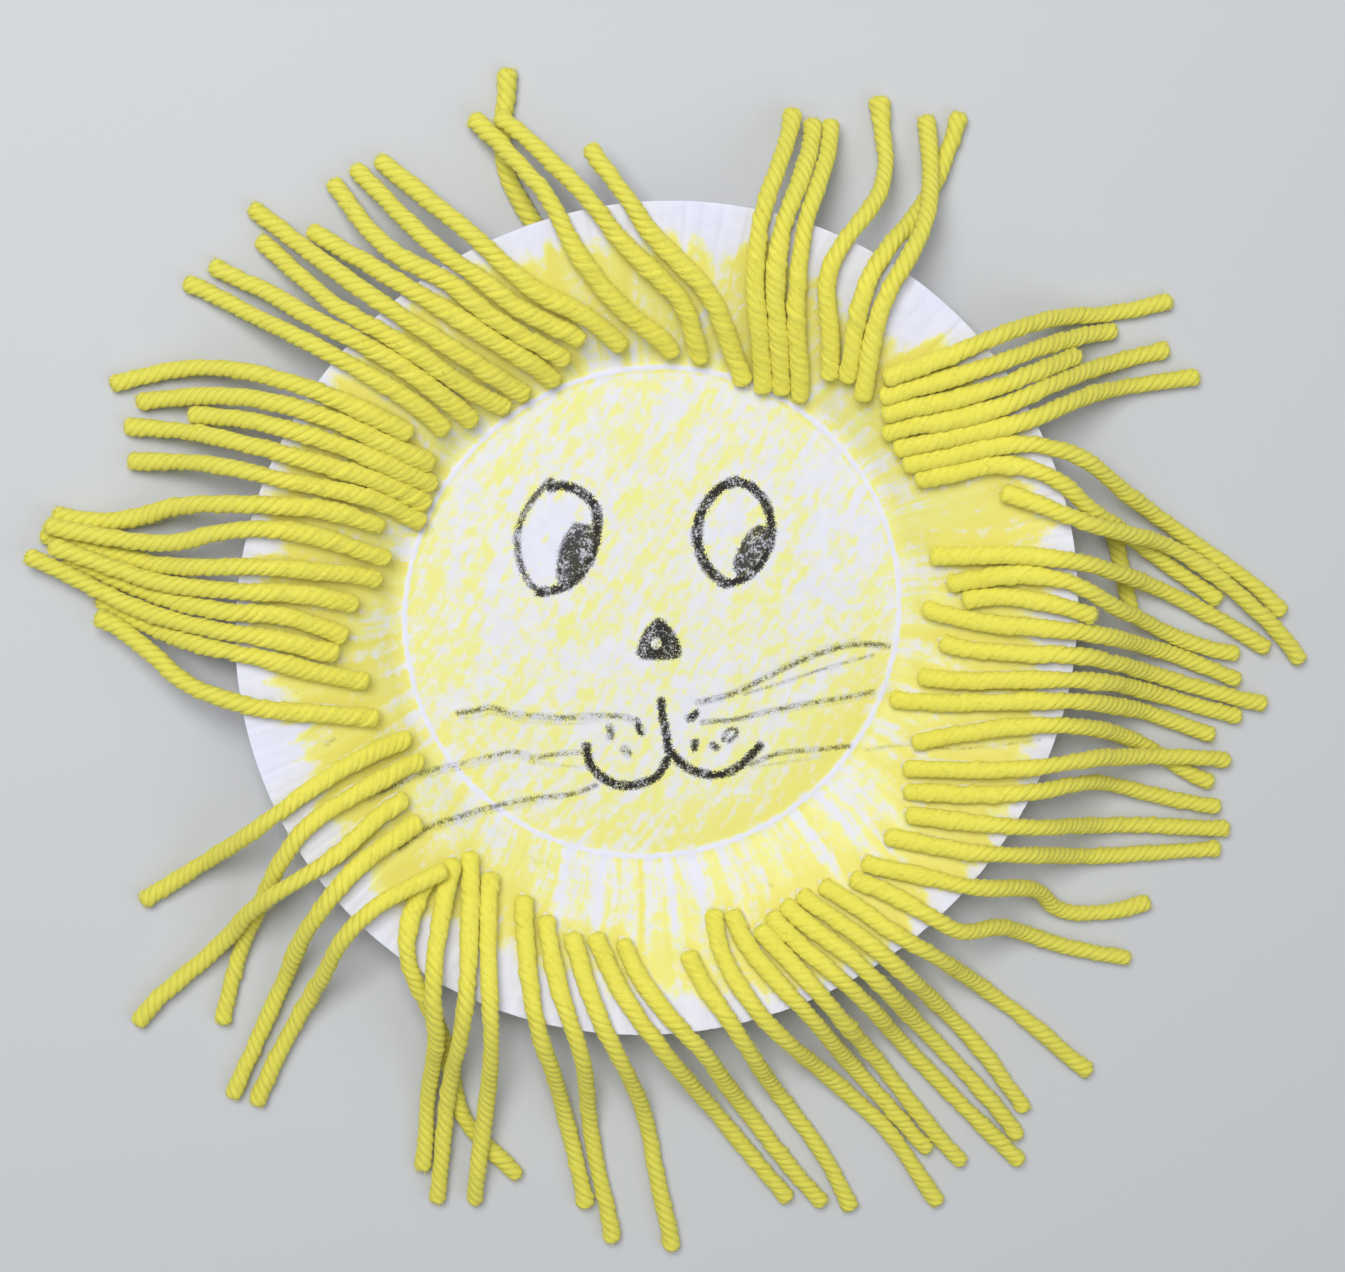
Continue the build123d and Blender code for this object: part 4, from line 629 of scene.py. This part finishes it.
EDGE = [(14.1, 72.8), (30.1, 72.4), (45.9, 72.2), (53.0, 64.8), (76.0, 69.4), (85.0, 70.2), (95.0, 71.1), (104.9, 72.1), (122.3, 73.8), (136.9, 75.4), (150.0, 75.9), (162.5, 74.4), (179.3, 71.6), (198.0, 68.9), (218.3, 70.8), (234.1, 67.3), (253.5, 68.8), (269.1, 69.9), (283.8, 73.8), (299.6, 73.7), (319.5, 76.2), (338.3, 73.2), (356.2, 69.7)]



def seg_dist(px, py, a, b):
    ax, ay = a
    bx, by = b
    vx, vy = bx - ax, by - ay
    l2 = vx * vx + vy * vy + 1e-9
    t = np.clip(((px - ax) * vx + (py - ay) * vy) / l2, 0, 1)
    return np.hypot(px - ax - t * vx, py - ay - t * vy)


def round_line(points, closed=False):
    """Corner cutting, so a stroke bends smoothly."""
    p = np.array(points, float)
    if len(p) < 3:
        return p
    for _ in range(2):
        q = [p[0]]
        for a, b in zip(p[:-1], p[1:]):
            q += [0.75 * a + 0.25 * b, 0.25 * a + 0.75 * b]
        q.append(p[-1])
        p = np.array(q)
    return p


def poly_sd(px, py, poly):
    poly = round_line(list(poly) + [poly[0]])
    d = np.full(px.shape, 1e9)
    inside = np.zeros(px.shape, bool)
    n = len(poly)
    for i in range(n):
        a, b = poly[i], poly[(i + 1) % n]
        d = np.minimum(d, seg_dist(px, py, a, b))
        c = ((a[1] > py) != (b[1] > py)) & (px < (b[0] - a[0]) * (py - a[1]) / (b[1] - a[1] + 1e-12) + a[0])
        inside ^= c
    return np.where(inside, -d, d)


# ---------------------------------------------------------------- the plate
EYES = [(-19.06, 13.84, 1.0), (13.42, 16.48, 0.6)]
R0, R1, RC, RB, CX, CZ = 45.4825, 49.0092, 6.0, 63.43079, 86.2929, -49.67069
RIM, BOARD = 76.2, 0.5
SPOKES = 1080
DR = 0.42
prng = np.random.default_rng(7)
th = np.linspace(0, 2 * math.pi, SPOKES, endpoint=False)
# crimp pleats: short radial folds pressed in where the rim's board was gathered
pleats = np.zeros(SPOKES)
a = prng.uniform(0, 0.03)
while a < 2 * math.pi - 0.02:
    depth = prng.uniform(0.05, 0.20)
    w = math.radians(prng.uniform(0.22, 0.42))
    dd = (th - a + math.pi) % (2 * math.pi) - math.pi
    pleats -= depth * np.exp(-((dd / w) ** 2))
    pleats += 0.35 * depth * np.exp(-(((dd - 2.1 * w) / (1.5 * w)) ** 2))
    a += math.radians(prng.uniform(2.2, 3.7))
slow = 0.05 * np.sin(2 * th + 0.6) + 0.03 * np.sin(3 * th + 2.0)


def offset_point(r_mid, off):
    """Point of the section at profile radius r_mid, moved off mm down along the board's normal."""
    if r_mid <= R0:
        return r_mid, BOARD - off
    if r_mid <= R1:
        ang = math.asin((r_mid - R0) / RC)
        return R0 + (RC + off) * math.sin(ang), BOARD + RC - (RC + off) * math.cos(ang)
    ang = math.asin((CX - r_mid) / RB)
    return CX - (RB - off) * math.sin(ang), CZ + (RB - off) * math.cos(ang)


top_r = list(np.arange(DR, R0, DR)) + list(np.arange(R0, RIM - 0.15, DR)) + [RIM - 0.08]
section = [(r, 0.0) for r in top_r]
section += [(RIM - 0.02, 0.02), (RIM, 0.10), (RIM, 0.25), (RIM, 0.40), (RIM - 0.02, 0.48), (RIM - 0.10, 0.50)]
section += [(r, 0.5) for r in list(np.arange(RIM - 1.0, R0, -1.2)) + list(np.arange(R0, 2.0, -2.5))]
rz = np.array([offset_point(r, o) for r, o in section])
mid = np.array([r for r, _ in section])
under = np.array([o for _, o in section])
env = np.clip((mid - 61.0) / 10.0, 0, 1) ** 1.5
dome = 0.35 * np.clip(1 - (mid / 44.0) ** 2, 0, 1) + 0.14 * np.exp(-(((mid - 45.7) / 0.45) ** 2)) * (under < 0.2)
X = rz[:, 0][:, None] * np.cos(th)[None, :]
Y = rz[:, 0][:, None] * np.sin(th)[None, :]
Z = rz[:, 1][:, None] + env[:, None] * pleats[None, :] + (np.clip((mid - 50) / 26, 0, 1) ** 2)[:, None] * slow[None, :] + dome[:, None]
verts = np.stack([X, Y, Z], -1).reshape(-1, 3)
n_ring = len(section)
centre_top, centre_low = len(verts), len(verts) + 1
verts = np.vstack([verts, [0, 0, BOARD + 0.35], [0, 0, 0.35]])
i = np.arange(n_ring - 1)[:, None] * SPOKES
j = np.arange(SPOKES)[None, :]
j2 = (j + 1) % SPOKES
quads = np.stack([i + j, i + SPOKES + j, i + SPOKES + j2, i + j2], -1).reshape(-1, 4)
faces = [tuple(q) for q in quads.tolist()]
last = (n_ring - 1) * SPOKES
for q in range(SPOKES):
    q2 = (q + 1) % SPOKES
    faces.append((centre_top, q, q2))
    faces.append((centre_low, last + q2, last + q))

px, py = verts[:, 0], verts[:, 1]
rad = np.hypot(px, py)
ang = np.arctan2(py, px)
top = np.concatenate([np.repeat(under < 0.2, SPOKES), [True, False]])
# black crayon: signed distance to the nearest stroke's edge, and that stroke's strength
ink = np.full(len(verts), 3.0)
power = np.zeros(len(verts))
for width, strength, points in STROKES:
    line = round_line(points)
    d = np.full(len(verts), 1e9)
    for p0, p1 in zip(line[:-1], line[1:]):
        d = np.minimum(d, seg_dist(px, py, p0, p1))
    d = d - width / 2
    closer = d < ink
    ink = np.where(closer, d, ink)
    power = np.where(closer, strength, power)
for strength, points in FILLS:
    d = poly_sd(px, py, points)
    closer = d < ink
    ink = np.where(closer, d, ink)
    power = np.where(closer, strength * 0.93, power)
# the nose is pale within 1 mm of this point: the black crayon's strength drops there
nose_pale = np.hypot(px - NOSE_PALE_SPOT[0], py - NOSE_PALE_SPOT[1])
power = np.where(nose_pale < 1.0, 0.25, power)
ink = np.where(top, np.clip(ink, -2, 3), 3.0)
# yellow crayon: how heavily it lies, 0 to 1
deg = np.degrees(ang) % 360
edge_a = np.array([e[0] for e in EDGE])
edge_r = np.array([e[1] for e in EDGE])
edge = np.interp(deg, np.concatenate([edge_a - 360, edge_a, edge_a + 360]), np.tile(edge_r, 3))
rag = np.interp(deg, np.linspace(0, 360, 241), np.append(prng.normal(0, 1.6, 240), 0))
# heavier yellow near the ring, most at the floor's lower right and also at the left: partly heavier crayon, partly
# painted shade where the floor dips down to the ring
heavy_wax_and_shade = np.exp(-(((deg - 325) / 55) ** 2)) + 0.55 * np.exp(-(((deg - 200) / 40) ** 2))
wax = np.where(
    rad < 44.9,
    0.47 + 0.06 * np.sin(px / 9.0 + 1.0) * np.sin(py / 12.0) - 0.10 * np.exp(-((px - 36) ** 2 + (py - 14) ** 2) / 130.0) + 0.27 * np.clip(heavy_wax_and_shade, 0, 1) * np.clip((rad - 30) / 13, 0, 1) ** 1.5
    + 0.10 * np.clip((-py - 15) / 25, 0, 1),
    0.64,
)
ring_white = np.exp(-(((rad - 45.7) / 0.42) ** 4))
wax = wax * (1 - 0.95 * ring_white)
wall = (rad > 46.2)
wax = np.where(wall & (rad < 52), wax - 0.05, wax)
wax = np.where(wall, wax + 0.14 * np.clip((rad - 55) / 8, 0, 1), wax)
streaks = np.interp(deg, np.linspace(0, 360, 301), np.append(prng.normal(0, 1, 300), 0))
wax = np.where(wall, wax + 0.10 * streaks, wax)
fade = np.clip((edge + rag + 1.0 - rad) / 4.0, 0, 1)
wax = np.where(wall, wax * fade, wax)
for g_deg in GAPS:
    dd = (deg - g_deg + 180) % 360 - 180
    wax = np.where(wall, wax - 0.42 * np.exp(-((dd / 1.2) ** 2)) * np.clip((68 - rad) / 8, 0, 1), wax)
for ex, ey, er in EYES:
    wax = wax - 0.22 * np.clip(1.4 - np.hypot((px - ex) / 6.0, (py - ey) / 9.0), 0, 1) * er
# the wall is coloured more heavily where the mane sits
near = np.zeros(len(verts))
for lines in LINES.values():
    for line in lines:
        pts = along(line, 0.0015)[0] * 1000
        r_l = np.hypot(pts[:, 0], pts[:, 1])
        k_l = r_l < 77.5
        if k_l.sum() < 4:
            continue
        a_l = np.unwrap(np.arctan2(pts[k_l, 1], pts[k_l, 0]))
        r_l = r_l[k_l]
        o_l = np.argsort(r_l)
        at = np.interp(rad, r_l[o_l], a_l[o_l])
        gap_l = ((ang - at + math.pi) % (2 * math.pi) - math.pi) * rad
        reach = np.clip((rad - r_l.min() + 2.5) / 2.5, 0, 1)
        near = np.maximum(near, np.exp(-((gap_l / 3.0) ** 2)) * reach)
wax = np.where(wall, wax + 0.22 * near * np.clip((edge + 3.0 - rad) / 4.0, 0, 1), wax)
wax = np.where(wall & (rad < 62), wax + 0.14 * np.exp(-(((deg - 185) / 22) ** 2)), wax)
wax = np.where(wall, wax + 0.20 * np.exp(-(((deg - 299) / 12) ** 2)) * np.clip((rad - 52) / 5, 0, 1) * fade, wax)
wax = np.where(top, np.clip(wax, 0, 1), 0.0)
# stroke coordinates: slanting strokes on the floor, radial ones on the wall
c55, s55 = math.cos(math.radians(55)), math.sin(math.radians(55))
u_, v_ = px * s55 - py * c55, px * c55 + py * s55
bend = 0.9 * np.sin(v_ / 17.0) + 0.5 * np.sin(v_ / 7.3 + 1.3)
floor_uv = np.stack([u_ + bend, v_ * 0.22, np.full_like(u_, 31.0)], -1)
wall_uv = np.stack([np.cos(ang + 0.012 * np.sin(rad / 3.0)) * 57, np.sin(ang + 0.012 * np.sin(rad / 3.0)) * 57, rad * 0.10], -1)
grain = np.where((rad < 45.6)[:, None], floor_uv, wall_uv)


def plate_material():
    mat, nt, bsdf = new_material("pressed_board_crayon")
    n = Net(nt)
    pos = n.position()
    grain_v = n.attr("grain", "Vector")
    wax_a = n.attr("wax")
    ink_a = n.attr("ink")
    pow_a = n.attr("power")
    tooth = n.noise(pos, 0.58, 3.0, 0.60)  # paper tooth, about a millimetre
    fine = n.noise(pos, 3.2, 2.0, 0.55)
    stroke = n.noise(grain_v, 0.34, 2.0, 0.5)
    stroke2 = n.noise(grain_v, 0.95, 1.0, 0.5)
    pulp = n.noise(pos, 0.35, 3.0, 0.5)
    white = n.mix(n.smooth(pulp, 0.35, 0.65), lin(*BOARD_A), lin(*BOARD_B))
    # the wax catches where the stroke pressed and the tooth is high
    s = n.math("ADD", n.math("MULTIPLY", stroke, 0.28), n.math("MULTIPLY", stroke2, 0.22))
    s = n.math("ADD", s, n.math("MULTIPLY", tooth, 0.38))
    s = n.math("ADD", s, n.math("MULTIPLY", fine, 0.12))  # 0.5 on average
    level = n.math("SUBTRACT", 0.63, n.math("MULTIPLY", wax_a, 0.26))
    cover = n.smooth(s, n.math("SUBTRACT", level, 0.075), n.math("ADD", level, 0.085))
    cover = n.math("MULTIPLY", cover, n.smooth(wax_a, 0.02, 0.15))
    yellow = n.mix(n.smooth(wax_a, 0.45, 1.0), lin(*WAX_THIN), lin(*WAX_THICK))
    film = n.math("MULTIPLY", n.smooth(wax_a, 0.0, 1.0), 0.22)
    col = n.mix(film, white, lin(*WAX_THIN))
    col = n.mix(n.math("MULTIPLY", cover, 0.85), col, yellow)
    # black crayon, broken by the same tooth
    edge_n = n.math("ADD", ink_a, n.math("MULTIPLY", n.math("SUBTRACT", fine, 0.5), 2.1))
    edge_n = n.math("ADD", edge_n, n.math("MULTIPLY", n.math("SUBTRACT", tooth, 0.5), 1.3))
    body = n.smooth(edge_n, 0.20, -0.20)
    speck = n.math("ADD", n.math("MULTIPLY", tooth, 0.5), n.math("MULTIPLY", fine, 0.5))
    lim = n.math("SUBTRACT", 0.660, n.math("MULTIPLY", pow_a, 0.245))
    solid = n.smooth(speck, n.math("SUBTRACT", lim, 0.06), n.math("ADD", lim, 0.06))
    dark = n.math("MULTIPLY", body, n.math("ADD", n.math("MULTIPLY", solid, 0.66), n.math("MULTIPLY", n.math("POWER", pow_a, 2.2), 0.44)), clamp=True)
    col = n.mix(dark, col, lin(*INK))
    n.link(col, bsdf.inputs["Base Color"])
    waxy = n.math("MAXIMUM", cover, dark)
    rough = n.smooth(waxy, 0.0, 1.0, 0.72, 0.50)
    n.link(rough, bsdf.inputs["Roughness"])
    bsdf.inputs["Specular IOR Level"].default_value = 0.3
    h = n.math("ADD", n.math("MULTIPLY", fine, 0.35), n.math("MULTIPLY", waxy, 0.3))
    n.bump(h, 0.25, 0.00006, bsdf)
    return mat


BOARD_A, BOARD_B = (226, 226, 241), (222, 222, 238)
WAX_THIN, WAX_THICK = (234, 231, 118), (230, 219, 66)
INK = (37, 33, 29)
plate = build(
    "lion_plate", verts * MM, faces, [plate_material()], None,
    {"wax": ("FLOAT", wax), "ink": ("FLOAT", ink), "power": ("FLOAT", power), "grain": ("FLOAT_VECTOR", grain)},
)
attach(plate, "root")
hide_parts("paper_plate")


# ---------------------------------------------------------------- glue dabs under the yarn
def glue_material():
    mat, nt, bsdf = new_material("dried_craft_glue")
    n = Net(nt)
    pos = n.position()
    cloud = n.noise(pos, 0.5, 3.0, 0.5)
    n.link(n.mix(cloud, lin(238, 236, 214), lin(226, 222, 178)), bsdf.inputs["Base Color"])
    n.link(n.smooth(cloud, 0.3, 0.7, 0.25, 0.45), bsdf.inputs["Roughness"])
    n.bump(n.noise(pos, 1.2, 2.0, 0.5), 0.4, 0.0002, bsdf)
    return mat


gv, gf = [], []
grng = np.random.default_rng(21)
for node, lines in LINES.items():
    for line in lines:
        pts, s, total = along(line, 0.0012)
        r = np.hypot(pts[:, 0], pts[:, 1])
        keep = (r > 0.0512) & (r < 0.0692) & (pts[:, 2] < plate_top(r) + 0.0030)
        pts = pts[keep]
        if len(pts) < 6:
            continue
        m_ = len(pts)
        tan = np.gradient(pts[:, :2], axis=0)
        tan /= np.linalg.norm(tan, axis=1)[:, None]
        side = np.stack([-tan[:, 1], tan[:, 0]], 1)
        wob = 1 + 0.15 * smooth_noise(grng, m_, 0.0012, 0.004)
        ends = np.sqrt(np.clip(1 - (2 * np.arange(m_) / (m_ - 1) - 1) ** 8, 0.05, 1))
        half = 0.00115 * wob * ends
        start = len(gv)
        across = np.linspace(-1, 1, 7)
        for i_ in range(m_):
            for c in across:
                q = pts[i_, :2] + side[i_] * (half[i_] * c)
                z = float(plate_top(np.hypot(*q)))
                gv.append((q[0], q[1], z + 0.00002 + 0.00020 * (1 - c * c)))
            for c in across[::-1]:
                q = pts[i_, :2] + side[i_] * (half[i_] * c)
                z = float(plate_top(np.hypot(*q)))
                gv.append((q[0], q[1], z + 0.00001))
        w = 14
        for i_ in range(m_ - 1):
            for q in range(w):
                q2 = (q + 1) % w
                gf.append((start + i_ * w + q, start + (i_ + 1) * w + q, start + (i_ + 1) * w + q2, start + i_ * w + q2))
        gf.append(tuple(start + q for q in range(w)))
        gf.append(tuple(start + (m_ - 1) * w + q for q in reversed(range(w))))
glue = build("glue_dabs", gv, gf, [glue_material()], None, {})
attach(glue, "root")
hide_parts("glue_film")


# ---------------------------------------------------------------- plain pale floor
def floor_material():
    mat, nt, bsdf = new_material("pale_floor")
    bsdf.inputs["Base Color"].default_value = lin(*FLOOR)
    bsdf.inputs["Roughness"].default_value = 0.9
    bsdf.inputs["Specular IOR Level"].default_value = 0.15
    return mat


FLOOR = (200, 201, 204)
floor = build("floor", [(-9, -9, -0.0001), (9, -9, -0.0001), (9, 9, -0.0001), (-9, 9, -0.0001)], [(0, 1, 2, 3)], [floor_material()], None, {}, smooth=False)


# ---------------------------------------------------------------- plain soft studio light
KEY_W, FILL_W = 8.0, 1.7


def area(name, at, target, size, energy, colour):
    data = bpy.data.lights.new(name, "AREA")
    data.shape = "RECTANGLE"
    data.size, data.size_y = size
    data.energy = energy
    data.color = colour
    obj = bpy.data.objects.new(name, data)
    obj.location = at
    obj.rotation_euler = (Vector(target) - Vector(at)).to_track_quat("-Z", "Y").to_euler()
    scene.collection.objects.link(obj)
    return obj


area("key", (-0.26, 0.40, 0.85), (0.0, 0.02, 0.0), (0.42, 0.42), KEY_W, (0.98, 0.99, 1.0))
area("fill", (0.45, -0.25, 0.80), (0.0, 0.0, 0.0), (0.9, 0.9), FILL_W, (0.96, 0.98, 1.0))
world = bpy.data.worlds.new("room")
world.use_nodes = True
world.node_tree.nodes["Background"].inputs[0].default_value = (0.90, 0.93, 1.0, 1.0)
world.node_tree.nodes["Background"].inputs[1].default_value = 0.26
scene.world = world
